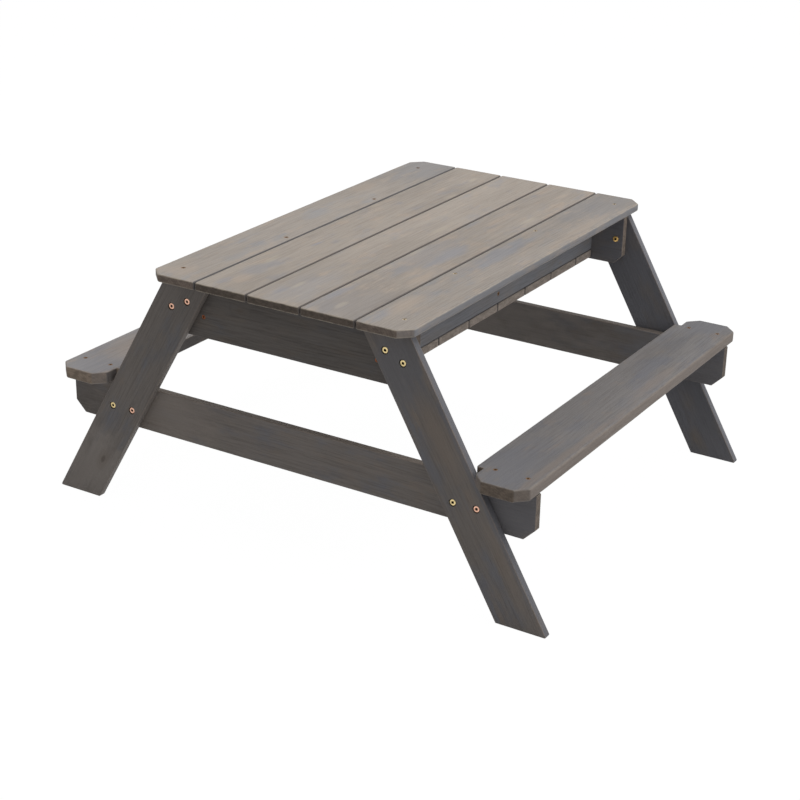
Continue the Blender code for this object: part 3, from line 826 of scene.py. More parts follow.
BOTH = (-1, 1)
PLAIN = Character()
FLOOR = Character(seams=BOTH, end=1.1)
CHARACTERS = {
    "top_board_left": Character(
        tone=1.02, cool=0.3, warm=0.45, contrast=0.5, pith=(0.8, -3.0), seams=(-1,), end=1.2,
        side=("cool", 0.95, 0.7),
        marks=(
            (0.42, 0.0, 0.14, 0.07, "cool", 0.85), (0.40, 0.0, 0.16, 0.08, "dark", 0.28),
            (0.205, 0.025, 0.05, 0.02, "warm", 0.5), (-0.002, -0.001, 0.05, 0.018, "cool", 0.6),
            (-0.287, -0.029, 0.06, 0.014, "cool", 0.5), (-0.406, 0.005, 0.04, 0.03, "warm", 0.5),
        ),
    ),
    "lid_board_left": Character(
        tone=0.98, cool=0.25, warm=0.5, contrast=0.5, pith=(-0.4, -3.4), seams=BOTH,
        marks=(
            (-0.320, 0.010, 0.07, 0.025, "cool", 0.75), (-0.147, 0.005, 0.022, 0.006, "blue", 0.85),
            (-0.275, 0.022, 0.035, 0.008, "pale", 0.5), (-0.382, 0.003, 0.035, 0.02, "warm", 0.6),
            (-0.411, 0.018, 0.03, 0.012, "blue", 0.5), (0.114, 0.042, 0.024, 0.007, "pale", 0.5),
            (0.381, -0.020, 0.02, 0.006, "pale", 0.6), (0.256, -0.045, 0.03, 0.006, "pale", 0.5),
        ),
    ),
    "lid_board_middle": Character(
        tone=1.02, cool=0.22, warm=0.42, contrast=0.45, pith=(0.6, -4.2), seams=BOTH, end=0.95,
        marks=(
            (-0.36, 0.0, 0.12, 0.05, "cool", 0.5), (-0.394, 0.025, 0.035, 0.012, "blue", 0.6),
            (-0.351, 0.011, 0.03, 0.008, "pale", 0.5), (0.05, -0.03, 0.05, 0.007, "pale", 0.4),
        ),
    ),
    "lid_board_right": Character(
        tone=0.965, cool=0.3, warm=0.6, contrast=0.5, pith=(-0.2, -2.6), seams=BOTH, end=1.05,
        marks=(
            (-0.38, 0.0, 0.10, 0.06, "cool", 0.5), (-0.36, 0.0, 0.14, 0.08, "dark", 0.42),
            (-0.339, 0.040, 0.06, 0.012, "blue", 0.6), (-0.076, -0.011, 0.09, 0.016, "blue", 0.75),
            (-0.10, 0.02, 0.16, 0.04, "cool", 0.5), (-0.395, 0.005, 0.020, 0.006, "pale", 0.4),
            (-0.089, 0.046, 0.035, 0.006, "pale", 0.4), (-0.196, -0.035, 0.06, 0.012, "warm", 0.6),
            (0.20, -0.03, 0.03, 0.006, "pale", 0.4),
        ),
    ),
    "top_board_right": Character(
        tone=0.905, cool=0.35, warm=0.6, contrast=0.55, pith=(-0.9, -2.4), seams=(-1,), end=1.1,
        side=("blue", 1.06, 0.8),
        marks=(
            (0.36, 0.0, 0.14, 0.07, "cool", 0.6), (0.38, 0.0, 0.18, 0.08, "dark", 0.32),
            (-0.02, -0.020, 0.16, 0.020, "blue", 0.65), (-0.402, -0.030, 0.04, 0.014, "blue", 0.6),
            (-0.333, -0.020, 0.07, 0.02, "warm", 0.6), (0.24, 0.03, 0.12, 0.012, "warm", 0.5),
        ),
    ),
    "sandbox_rail_left": Character(seams=(-1,)),
    "sandbox_rail_right": Character(tone=1.04, cool=0.8, warm=0.15, seams=(-1,)),
    "seat_left": Character(
        tone=1.50, cool=0.3, warm=0.55, contrast=0.5, pith=(0.5, -2.2), end=1.45,
        # Its narrow sides are darker: a darker stain, and painted shade for the top's shadow on the
        # inner side
        side=("dark", 0.82, 0.95),
        marks=((-0.42, 0.0, 0.08, 0.06, "cool", 0.6), (-0.27, 0.0, 0.11, 0.05, "warm", 0.6)),
    ),
    "seat_right": Character(
        tone=0.925, cool=0.5, warm=0.35, contrast=0.55, pith=(-0.6, -2.4), end=0.80,
        side=("warm", 1.15, 0.8),
        marks=(
            (-0.38, -0.01, 0.12, 0.06, "cool", 0.8), (0.26, -0.02, 0.12, 0.04, "dark", 0.25),
            (-0.30, 0.045, 0.30, 0.010, "warm", 0.6), (0.15, 0.0, 0.10, 0.02, "blue", 0.5),
            (0.10, 0.035, 0.12, 0.014, "warm", 0.5), (0.42, 0.0, 0.06, 0.07, "cool", 0.8),
        ),
    ),
    "leg_near_left": Character(
        tone=1.03, cool=0.3, warm=0.3, contrast=0.5, pith=(0.5, -2.8),
        # Painted light: its narrow sides are made lighter, so the inner side, which faces down
        # beside the apron in shade, reads as bright as the face
        side=("light", 1.15, 0.9), knots=((-0.172, -0.013, 0.005),),
        # Painted light: the lower end of this leg is made lighter, for the light the floor throws
        # up onto it
        marks=((-0.21, 0.0, 0.11, 0.08, "light", 1.0),),
    ),
    "leg_near_right": Character(
        tone=1.10, cool=0.35, warm=0.45, contrast=0.5, pith=(-0.5, -2.4),
        side=("cool", 1.03, 0.9),
        marks=(
            (0.20, 0.0, 0.09, 0.06, "cool", 0.8), (0.22, 0.0, 0.10, 0.07, "dark", 0.22),
            (0.04, -0.030, 0.11, 0.012, "cool", 0.6), (-0.22, -0.034, 0.07, 0.006, "cool", 0.7),
            (-0.05, 0.034, 0.30, 0.006, "cool", 0.6), (0.076, 0.008, 0.10, 0.022, "warm", 0.7),
            (-0.16, 0.02, 0.09, 0.014, "warm", 0.5),
        ),
    ),
    "leg_far_left": Character(tone=0.95, cool=0.9, warm=0.1),
    "leg_far_right": Character(
        tone=0.92, cool=1.0, warm=0.0, contrast=0.4, pith=(0.4, -2.6), side=("cool", 1.5, 0.9),
        marks=((0.0, 0.0, 0.4, 0.2, "blue", 0.3),),
    ),
    "apron_near": Character(
        tone=0.70, cool=0.2, contrast=0.75, pith=(0.3, -1.9), end=1.7,
        knots=((0.10, 0.018, 0.004),),
    ),
    "apron_far": Character(
        tone=1.06, cool=1.0, warm=0.0, contrast=0.4, pith=(0.4, -2.6), end=2.4,
        marks=((0.0, 0.0, 0.4, 0.2, "blue", 0.4),),
    ),
    "seat_bearer_near": Character(
        tone=1.16, cool=0.35, warm=0.45, pith=(-0.2, -2.0), end=1.8, side=("warm", 1.08, 0.6),
        marks=(
            (-0.43, 0.0, 0.10, 0.08, "cool", 0.9), (-0.43, 0.0, 0.10, 0.08, "dark", 0.25),
            (0.30, 0.0, 0.16, 0.08, "warm", 0.6), (0.25, 0.0, 0.11, 0.08, "light", 0.5),
            # Painted shade: the end under the left bench, beside the leg, is darkened
            (0.48, 0.0, 0.07, 0.10, "dark", 0.85),
        ),
    ),
    "seat_bearer_far": Character(
        warm=0.4, contrast=0.5, pith=(0.5, -2.3), end=1.5, side=("warm", 0.8, 0.8),
        marks=((0.20, 0.0, 0.50, 0.12, "light", 1.0), (-0.42, 0.0, 0.18, 0.12, "cool", 0.7)),
    ),
}


class Tree:
    """Short ways to add shader nodes to one material or world."""

    def __init__(self, owner):
        owner.use_nodes = True
        self.nodes = owner.node_tree.nodes
        self.links = owner.node_tree.links
        self.shader = self.nodes.get("Principled BSDF")

    def add(self, kind, values, **choices):
        """A node with its choices set and its inputs given as numbers or as other outputs."""
        node = self.nodes.new("ShaderNode" + kind)
        for key, choice in choices.items():
            setattr(node, key, choice)
        for key, value in values.items():
            self.give(node.inputs[key], value)
        return node

    def give(self, socket, value):
        """Set a socket to a number or link it to an output."""
        if isinstance(value, bpy.types.NodeSocket):
            self.links.new(value, socket)
        else:
            socket.default_value = value

    def maths(self, operation, *values, clamp=False):
        """A Math node."""
        node = self.add("Math", dict(enumerate(values)), operation=operation, use_clamp=clamp)
        return node.outputs[0]

    def times(self, first, second):
        """A product."""
        return self.maths("MULTIPLY", first, second)

    def plus(self, first, second, clamp=False):
        """A sum."""
        return self.maths("ADD", first, second, clamp=clamp)

    def vector(self, operation, *values):
        """A Vector Math node that gives a vector."""
        node = self.add("VectorMath", dict(enumerate(values)), operation=operation)
        return node.outputs["Vector"]

    def measure(self, operation, *values):
        """A Vector Math node that gives a number."""
        node = self.add("VectorMath", dict(enumerate(values)), operation=operation)
        return node.outputs["Value"]

    def band(self, value, low, high, bottom=0.0, top=1.0):
        """A smooth step between two values."""
        values = {"Value": value, "From Min": low, "From Max": high}
        values |= {"To Min": bottom, "To Max": top}
        return self.add("MapRange", values, interpolation_type="SMOOTHSTEP").outputs["Result"]

    def blend(self, share, first, second, kind="MIX"):
        """A colour mix."""
        node = self.add("Mix", {0: share, 6: first, 7: second}, data_type="RGBA", blend_type=kind)
        return node.outputs[2]

    def noise(self, place, stretch, detail=3.0, rough=0.55, shift=(0, 0, 0), output="Fac"):
        """Noise whose cells per metre differ along, across and through the board."""
        moved = self.vector("ADD", self.vector("MULTIPLY", place, stretch), shift)
        values = {"Vector": moved, "Scale": 1.0, "Detail": detail, "Roughness": rough}
        return self.add("TexNoise", values, noise_dimensions="3D").outputs[output]

    def shader_mix(self, share, first, second):
        """A mix of two shaders."""
        return self.add("MixShader", {0: share, 1: first, 2: second}).outputs[0]

    def finish(self, colour, roughness, height, distance):
        """Feed the shader its colour, its roughness and the bump of a height."""
        bump = self.add("Bump", {"Height": height, "Distance": distance, "Strength": BUMP_SHARE})
        values = {"Base Color": colour, "Roughness": roughness, "Normal": bump.outputs["Normal"]}
        for key, value in values.items():
            self.give(self.shader.inputs[key], value)


def rgba(colour, tone=1.0):
    """The first three numbers of a colour, made lighter or darker, and full alpha."""
    return (*[min(1.0, c * tone) for c in colour[:3]], 1.0)


def board_tints(look, tone):
    """The colours of one board's finish, made lighter or darker by its own tone."""
    stains = {"body": look.body, "cool": look.cool, "warm": look.warm}
    stains |= {"dark": look.streak, "pale": look.worn}
    tints = {name: rgba(colour, tone) for name, colour in stains.items()}
    # A lighter body colour; at the near left leg's foot and sides it is painted light
    tints["light"] = rgba(look.body, tone * LIGHT_TONE)
    tints["blue"] = rgba([part * share for part, share in zip(look.cool, BLUE_TONES)], tone)
    return tints


def knot_masks(tree, place, knots):
    """Core and rim of the knots, by the distance from their middle, counted less along them."""
    core = rim = 0.0
    for along, across, size in knots:
        away = tree.vector("SUBTRACT", place, (along, across, 0))
        away = tree.vector("MULTIPLY", away, (1 / (KNOT_LENGTH * size), 1 / size, 0))
        reach = tree.measure("LENGTH", away)
        core = tree.plus(core, tree.band(reach, *KNOT_CORE))
        rim = tree.plus(rim, tree.band(reach, *KNOT_RIM))
    return core, rim


def late_wood(tree, place, wavy, pith, lean, push):
    """The dark part of each growth ring, by the distance from the pith over the ring pitch."""
    parts = tree.vector("MULTIPLY", tree.vector("SUBTRACT", wavy, pith), (0, 1, 1))
    distance = tree.plus(tree.measure("LENGTH", parts), tree.measure("DOT_PRODUCT", place, lean))
    distance = tree.plus(distance, tree.times(push, KNOT_PUSH))
    ring = tree.maths("FRACT", tree.times(distance, 1 / RING_PITCH))
    return tree.times(tree.band(ring, *RING_RISE), tree.band(ring, *RING_FALL))


def stain_and_painted_light_marks(tree, colour, place, haze, marks, tints):
    """Soft-edged marks, mostly stain patches and a few of painted light and painted shade: the
    distance from each middle over its half sizes, broken by the haze.
    """
    ragged = tree.times(tree.maths("SUBTRACT", haze, 0.5), MARK_RAGGED)
    for along, across, long, wide, tint, strength in marks:
        away = tree.vector("SUBTRACT", place, (along, across, 0))
        away = tree.vector("MULTIPLY", away, (1 / long, 1 / wide, 0))
        reach = tree.plus(tree.measure("LENGTH", away), ragged)
        colour = tree.blend(tree.band(reach, *MARK_STEP, 0, strength), colour, tints[tint])
    return colour


def timber(node, slot, width, thickness, grain_axis, edge_axis):
    """Stained softwood, read from the board's own coordinates along, across and through its grain.

    Growth rings are the distance from a wandering pith line over the ring pitch. Fibres, stain
    patches and pores are stretched noise. Worn arrises come from the board's own attribute and
    end grain from how far the surface faces along the grain.
    """
    look = getattr(settings(), slot)
    own = CHARACTERS.get(node, FLOOR if "floor" in node else PLAIN)
    tints = board_tints(look, own.tone)
    draw = np.random.default_rng(seed_of(node))
    shift = draw.uniform(-40, 40, 3)
    lean = (float(draw.uniform(-RING_LEAN, RING_LEAN)), 0, 0)
    material = bpy.data.materials.new("timber_" + node)
    tree = Tree(material)
    place = tree.add("Attribute", {}, attribute_name="grain").outputs["Vector"]

    # Slow wander of the grain, knots and rings
    wander = tree.noise(place, WANDER_CELLS, 2.0, 0.5, shift, "Color")
    wander = tree.vector("SUBTRACT", wander, (0.5, 0.5, 0.5))
    wavy = tree.vector("ADD", place, tree.vector("MULTIPLY", wander, GRAIN_WANDER))
    knot_core, knot_rim = knot_masks(tree, wavy, own.knots)
    pith = (0, own.pith[0] * width / 2, own.pith[1] * thickness)
    late = late_wood(tree, place, wavy, pith, lean, knot_rim)

    # Fibres, fine and finer, broken along their length
    fibre = tree.noise(wavy, FIBRE_CELLS, 4.0, 0.6, shift)
    hair = tree.noise(wavy, HAIR_CELLS, 3.0, 0.6, -shift)
    pores = tree.band(tree.noise(wavy, PORE_CELLS, 2.0, 0.5, shift * 2), *PORE_STEP)

    # Stain patches
    cloud = tree.noise(wavy, CLOUD_CELLS, 4.0, 0.55, shift * 0.5)
    cool = tree.band(cloud, *[limit - COOL_MOVE * own.cool for limit in COOL_STEP])
    haze = tree.noise(wavy, HAZE_CELLS, 4.0, 0.6, -shift * 0.5)
    warm = tree.band(haze, *[limit - WARM_MOVE * own.warm for limit in WARM_STEP])
    fibres = tree.band(fibre, *FIBRE_STEP, 0, FIBRE_TINT * own.contrast)
    hairs = tree.band(hair, *HAIR_STEP, 0, HAIR_TINT * own.contrast)
    colour = tree.blend(tree.times(cool, COOL_TINT), tints["body"], tints["cool"])
    colour = tree.blend(tree.times(warm, WARM_TINT), colour, tints["warm"])
    for share in (tree.times(late, LATE_TINT * own.contrast), fibres, hairs):
        colour = tree.blend(share, colour, tints["dark"])
    colour = tree.blend(tree.times(pores, PORE_TINT), colour, tints["dark"])
    colour = stain_and_painted_light_marks(tree, colour, wavy, haze, own.marks, tints)
    level = tree.noise(place, LEVEL_CELLS, 2.0, 0.5, shift * 1.5)
    level = tree.band(level, *LEVEL_STEP)
    level = tree.add("CombineXYZ", {0: level, 1: level, 2: level}).outputs[0]
    colour = tree.blend(1.0, colour, level, "MULTIPLY")
    if own.knots:
        rim_colour = rgba(look.warm, own.tone * KNOT_RIM_TONE)
        colour = tree.blend(tree.times(knot_rim, KNOT_RIM_TINT), colour, rim_colour)
        colour = tree.blend(tree.times(knot_core, KNOT_CORE_TINT), colour, rgba(look.cut))

    # The narrow sides take the stain in their own way, and their tint paints light onto the near
    # left leg's sides and partly paints shade onto the left bench's
    normal = tree.add("NewGeometry", {}).outputs["Normal"]
    facing = tree.measure("DOT_PRODUCT", normal, edge_axis)
    tint, tone, strength = own.side
    narrow = tree.band(tree.maths("ABSOLUTE", facing), *SIDE_STEP, 0, strength)
    dark = rgba(tints[tint], tone * SIDE_FIBRE_TONE)
    side = tree.blend(fibre, rgba(tints[tint], tone), dark)
    side = tree.blend(tree.times(warm, SIDE_WARM_TINT), side, rgba(look.warm, own.tone * tone))
    colour = tree.blend(narrow, colour, side)

    # Cut ends soak up stain unevenly and show the rings as faint arcs
    facing = tree.measure("DOT_PRODUCT", normal, grain_axis)
    end = tree.band(tree.maths("ABSOLUTE", facing), *END_STEP)
    speckle = tree.noise(place, SPECKLE_CELLS, 2.0, 0.6, shift)
    blotch = tree.noise(place, BLOTCH_CELLS, 4.0, 0.65, shift * 3)
    cut = [channel * own.end for channel in look.cut]
    pale, dark = [rgba(cut, tone) for tone in BLOTCH_TONES]
    cut_end = tree.blend(tree.band(blotch, *BLOTCH_STEP), pale, dark)
    cut_end = tree.blend(tree.band(speckle, *SPECKLE_STEP), cut_end, rgba(cut, SPECKLE_TONE))
    cut_end = tree.blend(tree.times(late, END_RING_TINT), cut_end, rgba(cut, END_RING_TONE))
    colour = tree.blend(end, colour, cut_end)

    # Joints darkened, partly by stain gathered there and partly as painted shade of the gaps
    # between boards, where the arrises stay unrubbed
    wear = tree.add("Attribute", {}, attribute_name="worn").outputs["Fac"]
    for side in own.seams:
        reach = tree.measure("DOT_PRODUCT", place, (0, side, 0))
        seam = tree.band(reach, width / 2 - SEAM_REACH[0], width / 2 - SEAM_REACH[1])
        wear = tree.times(wear, tree.maths("SUBTRACT", 1.0, seam))
        seam = tree.times(seam, tree.maths("SUBTRACT", SEAM_TINT, tree.times(end, SEAM_END_LOSS)))
        colour = tree.blend(seam, colour, rgba(look.seam))

    # Rubbed arrises
    patchy = tree.noise(place, RUBBED_CELLS, 4.0, 0.65, -shift)
    rubbed = tree.times(wear, tree.band(patchy, *RUBBED_STEP))
    colour = tree.blend(rubbed, colour, tints["pale"])

    rough = tree.band(fibre, *TIMBER_ROUGHNESS)
    rough = tree.plus(rough, tree.times(end, END_ROUGHNESS), clamp=True)
    height = 0.0
    raised = {"late": late, "fibre": fibre, "hair": hair, "pores": pores}
    raised["speckle"] = tree.times(speckle, end)
    for name, part in raised.items():
        height = tree.plus(height, tree.times(part, RELIEF[name]))
    tree.finish(colour, rough, height, TIMBER_BUMP)
    tree.shader.inputs["Specular IOR Level"].default_value = TIMBER_SPECULAR
    return material


def drilled(mesh, box, sites):
    """Cut the holes of the fasteners that pass through a board's box, if there are any."""
    low, high = box
    surfaces = []
    for site in sites:
        tip = site.place - site.out * site.depth
        first, last = np.minimum(site.place, tip), np.maximum(site.place, tip)
        if ((first < high - BORE_MARGIN) & (last > low + BORE_MARGIN)).all():
            surfaces.append(bore_surface(site))
    if not surfaces:
        return mesh
    points, faces, marks = join_surfaces(surfaces)
    board = bpy.data.objects.new("blank", mesh)
    cutter = bpy.data.objects.new("bores", make_mesh("bores", points, faces))
    for obj in (board, cutter):
        bpy.context.scene.collection.objects.link(obj)
    modifier = board.modifiers.new("bores", "BOOLEAN")
    modifier.object = cutter
    modifier.solver = "EXACT"
    graph = bpy.context.evaluated_depsgraph_get()
    made = bpy.data.meshes.new_from_object(board.evaluated_get(graph))
    if len(made.polygons) < len(mesh.polygons) / 2:
        raise RuntimeError(f"The holes of {mesh.name} took away most of the board.")
    for obj in (board, cutter):
        old = obj.data
        bpy.data.objects.remove(obj)
        bpy.data.meshes.remove(old)
    return made


def both_halves(half):
    """All corners of a long edge, from those of its half towards +X."""
    return [(-a, b, radius) for a, b, radius in reversed(half)] + half


def cut_corner(long, edge, cut, radius):
    """Half a long edge, at this place across the board, with the corner at its end cut off."""
    inside = edge - math.copysign(cut, edge)
    return [(long / 2 - cut, edge, radius), (long / 2, inside, radius)]


def square_outline(long, wide, radius=0.0):
    """A plain rectangle."""
    radius = radius or settings().timber.square_round
    right = both_halves([(long / 2, -wide / 2, radius)])
    return right, both_halves([(long / 2, wide / 2, radius)])[::-1]


def top_outline(long, wide):
    """A rectangle with the top boards' own rounding."""
    return square_outline(long, wide, settings().timber.top_round)


def side_board_outline(long, wide):
    """A rectangle with the two corners of its left edge cut off."""
    sizes = settings().timber
    left = cut_corner(long, wide / 2, sizes.top_corner, sizes.corner_round)
    return top_outline(long, wide)[0], both_halves(left)[::-1]


def seat_outline(long, wide):
    """All four corners cut off, and the right edge notched from each end to past the leg."""
    sizes = settings().timber
    cut, radius, inner = sizes.seat_corner, sizes.corner_round, sizes.seat_ease_below * 1.5
    notch_start = corners_of("leg_far_left")[0][0] - sizes.seat_notch_gap
    notch_edge = -wide / 2 + sizes.seat_notch
    right = [(notch_start, -wide / 2, inner), (notch_start, notch_edge, inner / 3)]
    right += cut_corner(long, notch_edge, cut, radius)
    return both_halves(right), both_halves(cut_corner(long, wide / 2, cut, radius))[::-1]


def cross_board_outline(cut):
    """A rectangle with both corners of its right edge, which is the lower one, cut off."""

    def outline(long, wide):
        right = cut_corner(long, -wide / 2, cut, settings().timber.square_round)
        return both_halves(right), square_outline(long, wide)[1]

    return outline


def leg_outline(long, wide):
    """A leaning board cut level at the foot and under the top. Its left edge looks outwards."""
    sizes = settings().timber
    r = sizes.square_round
    half = (sizes.leg_width / math.cos(sizes.leg_lean)) / 2
    shift = long / 2 * math.tan(sizes.leg_lean)
    right = [(-long / 2, shift - half, r), (long / 2, -shift - half, r)]
    left = [(long / 2, half - shift, r), (-long / 2, shift + half, r)]
    return right, left


def eases(kind):
    """Radii of the upper and lower arrises of the boards of the top, the benches or the frame."""
    sizes = settings().timber
    upper = getattr(sizes, kind + "_ease")
    return upper, getattr(sizes, kind + "_ease_below", upper)


def fit_board(
    node, slot, axes, sites, outline=square_outline, ease="frame", side=1, lean=0.0, swell=0.0
):
    """Make one board where its CAD node is, drill it, and give it its finish.

    The outline function gets the board's length and width and returns the corners of its right
    and left long edge. Side is 1, or -1 for a board that is the mirror image across its width.
    """
    low, high = corners_of(node)
    middle = (low + high) / 2
    size = (high - low)[list(axes)]
    right, left = outline(size[0], size[1])
    arcs = rounded(np.array(right + left, float))
    edges = arcs[: len(right)].reshape(-1, 4), arcs[len(right) :].reshape(-1, 4)[::-1]
    relief = settings().timber.relief
    local, faces, wear = slab(edges, size[2], eases(ease), swell, relief, seed_of(node))
    points = np.empty_like(local)
    for column, axis in enumerate(axes):
        points[:, axis] = middle[axis] + local[:, column] * (side if column == 1 else 1)
    mesh = make_mesh(node, points, faces, worn=wear)
    mesh = drilled(mesh, (low, high), sites)
    mesh.name = node
    shade(mesh, SMOOTH_TURN)

    # Grain coordinates, turned into the leaning board's own direction
    places = np.empty(len(mesh.vertices) * 3, np.float32)
    mesh.vertices.foreach_get("co", places)
    places = places.reshape(-1, 3) - middle
    local = np.stack([places[:, axis] for axis in axes], 1)
    local[:, 1] *= side
    cos, sin = math.cos(lean), math.sin(lean)
    x, y, z = local.T
    grain = np.stack([cos * x - sin * y, sin * x + cos * y, z], 1)
    attribute = mesh.attributes.new("grain", "FLOAT_VECTOR", "POINT")
    attribute.data.foreach_set("vector", grain.astype(np.float32).ravel())
    along, across = np.zeros((2, 3))
    along[axes[0]] = cos
    along[axes[1]] = -sin * side
    across[axes[0]] = sin
    across[axes[1]] = cos * side
    body = "lid" if node.startswith("lid_") else "frame"
    width = size[1] if not lean else (size[1] - size[0] * math.tan(lean)) * cos
    material = timber(node, slot, width, size[2], tuple(along), tuple(across))
    return add_piece(node + "_timber", mesh, body, material, node)


# Metal


def plating(name, colour, roughness):
    """Plated steel: worn, slightly mottled colour, fine scratches and a dull film in patches.

    The recesses, marked by an attribute, are dark and dull: bare metal there, and painted shade
    deep in the socket.
    """
    material = bpy.data.materials.new(name)
    tree = Tree(material)
    place = tree.add("TexCoord", {}).outputs["Object"]
    film = tree.noise(place, FILM_CELLS, 4.0, 0.6)
    scratch = tree.noise(place, SCRATCH_CELLS, 3.0, 0.6)
    tone = tree.blend(tree.band(film, *FILM_STEP), rgba(colour), rgba(colour, FILM_TONE))
    tone = tree.blend(tree.band(scratch, *SCRATCH_STEP), tone, rgba(colour, SCRATCH_TONE))
    # Recess rows: bare metal and painted shade, darker and duller
    deep = tree.add("Attribute", {}, attribute_name="recess").outputs["Fac"]
    tone = tree.blend(deep, tone, rgba(colour, RECESS_BARE_AND_SHADE_TONE))
    limits = [roughness * share for share in FILM_ROUGHNESS]
    rough = tree.band(film, *FILM_ROUGH_STEP, *limits)
    rough = tree.plus(rough, tree.times(deep, RECESS_ROUGHNESS), clamp=True)
    tree.finish(tone, rough, tree.plus(scratch, film), METAL_BUMP)
    tree.shader.inputs["Metallic"].default_value = 1.0
    return material


def bolt_surface(site):
    """Socket floor, hexagon wall, crowned face, rounded rim, underside and shank, as radii."""
    sizes = settings().fastener
    top = -sizes.counterbore + FIT + sizes.bolt_head_height
    head, ease, shank = sizes.bolt_head / 2, sizes.bolt_ease, sizes.bolt_shank / 2
    key = hexagon(sizes.hex_key, HEAD_SIDES)
    turn = np.linspace(0, math.pi / 2, RIM_STEPS)
    bottom = top - sizes.bolt_head_height
    tip = -site.depth + sizes.sleeve_length * BOLT_REACH_SHARE
    radius = [0, key * SOCKET_TAPER, key, key + BEVEL, *(head - ease + ease * np.sin(turn))]
    radius += [head, head - BEVEL, shank, shank, shank * BOLT_POINT_SHARE, 0]
    floor = top - sizes.hex_depth
    height = [floor - SOCKET_SINK, floor, top - BEVEL, top]
    height += [*(top - ease + ease * np.cos(turn))]
    height += [bottom + BEVEL, bottom, bottom, tip + 2 * BEVEL, tip, tip]
    return spun(radius, height, HEAD_SIDES, 3)


def sleeve_surface(site):
    """Outer face with its hexagon socket, flange, sleeve and the bore that takes the bolt."""
    sizes = settings().fastener
    seat = -site.depth - FIT
    end = seat - sizes.sleeve_flange
    flange, sleeve = sizes.bolt_head / 2, sizes.sleeve / 2
    ease = sizes.bolt_ease * FLANGE_EASE_SHARE
    key = hexagon(sizes.hex_key, HEAD_SIDES)
    turn = np.linspace(0, math.pi / 2, FLANGE_STEPS)
    inner = sizes.bolt_shank / 2 + BOLT_PLAY
    mouth = seat + sizes.sleeve_length
    floor = end + sizes.hex_depth
    blind = floor + SOCKET_BLIND
    radius = [0, key * SOCKET_TAPER, key, key + BEVEL, *(flange - ease + ease * np.sin(turn))]
    radius += [flange, sleeve, sleeve, inner, inner, 0]
    height = [floor, floor - BEVEL, end + BEVEL, end]
    height += [*(end + ease - ease * np.cos(turn)), seat, seat, mouth, mouth, blind, blind]
    return spun(radius, height, HEAD_SIDES, 3)


def screw_surface(site):
    """Cross recess and countersunk head, closed under a short neck; the thread is a surface of its
    own.
    """
    sizes = settings().fastener
    top = -sizes.screw_sink
    head, shank = sizes.screw_head / 2, sizes.screw_shank / 2
    core = shank * SCREW_CORE
    arms = cross(head * CROSS_REACH, head * CROSS_WIDTH, HEAD_SIDES)
    rim = head - FINE_BEVEL
    inner, outer = [arms * share for share in CROSS_TAPER]
    radius = [0, inner, outer, arms, arms + FINE_BEVEL, rim, head, core, 0]
    neck = top - (head - core)
    floor, edge = top - CROSS_DEPTH, top - FINE_BEVEL
    height = [floor, floor + FINE_BEVEL, edge, top, top, top, edge]
    return spun(radius, height + [neck, neck - NECK], HEAD_SIDES, 4)


def thread_surface(site):
    """The screw's threaded shank: core radius plus a ridge at the share of the turn and pitch."""
    sizes = settings().fastener
    core = sizes.screw_shank / 2 * SCREW_CORE
    start = -sizes.screw_sink - (sizes.screw_head / 2 - core)
    stop = -site.depth
    steps = round((start - stop) / sizes.thread_pitch * THREAD_STEPS)
    height = np.linspace(start, stop, max(8, steps))
    angle = np.linspace(0, 1, THREAD_SIDES, endpoint=False)
    phase = (height[:, None] / sizes.thread_pitch + angle) % 1
    ridge = (sizes.screw_shank / 2 - core) * np.clip(1 - np.abs(phase - 0.5) * 4, 0, 1)
    taper = np.clip((height - stop) / SCREW_POINT, 0, 1)[:, None]
    radius = (core + ridge) * taper
    radius[0] = core * 0.5
    return spun(list(radius), height, THREAD_SIDES)


def turned_mesh(name, site, surface, spin):
    """One fastener's surface, put at its site, as a mesh."""
    points, faces, marks = surface(site)
    return make_mesh(name, turned_to(site, points, spin), faces, FASTENER_TURN, recess=marks)


def screw_mesh(name, sites):
    """One mesh with the head and thread of each of these screws."""
    draw = np.random.default_rng(seed_of(name))
    surfaces = []
    for site in sites:
        spin = draw.uniform(0, TAU)
        for make in (screw_surface, thread_surface):
            points, faces, marks = make(site)
            surfaces.append((turned_to(site, points, spin), faces, marks))
    points, faces, marks = join_surfaces(surfaces)
    return make_mesh(name, points, faces, SCREW_TURN, recess=marks)


# Operators


class PICNIC_OT_top_boards(Operator):
    """The two screwed boards at the sides of the top"""

    bl_idname = "picnic.top_boards"
    bl_label = "Top Boards"

    def execute(self, context):
        ways = {"sites": all_sites(), "outline": side_board_outline, "ease": "top"}
        for name, side in SIDES:
            fit_board("top_board_" + name, "top_timber", PLANK, side=side, **ways)
        return {"FINISHED"}


class PICNIC_OT_lid(Operator):
    """The lift-off lid: three boards and the battens under them"""

    bl_idname = "picnic.lid"
    bl_label = "Lid"

    def execute(self, context):
        sites = batten_screw_sites()
        for name in LID_BOARDS:
            fit_board("lid_board_" + name, "lid_timber", PLANK, [], top_outline, "top")
        for name in ENDS:
            fit_board("lid_batten_" + name, "lid_timber", CROSS_PLANK, sites)
        return {"FINISHED"}


class PICNIC_OT_legs(Operator):
    """The four slanted legs"""

    bl_idname = "picnic.legs"
    bl_label = "Legs"

    def execute(self, context):
        ways = {"outline": leg_outline, "lean": settings().timber.leg_lean}
        sites = bolt_sites()
        for end in ENDS:
            for name, side in SIDES:
                fit_board(f"leg_{end}_{name}", "frame_timber", POST, sites, side=side, **ways)
        return {"FINISHED"}


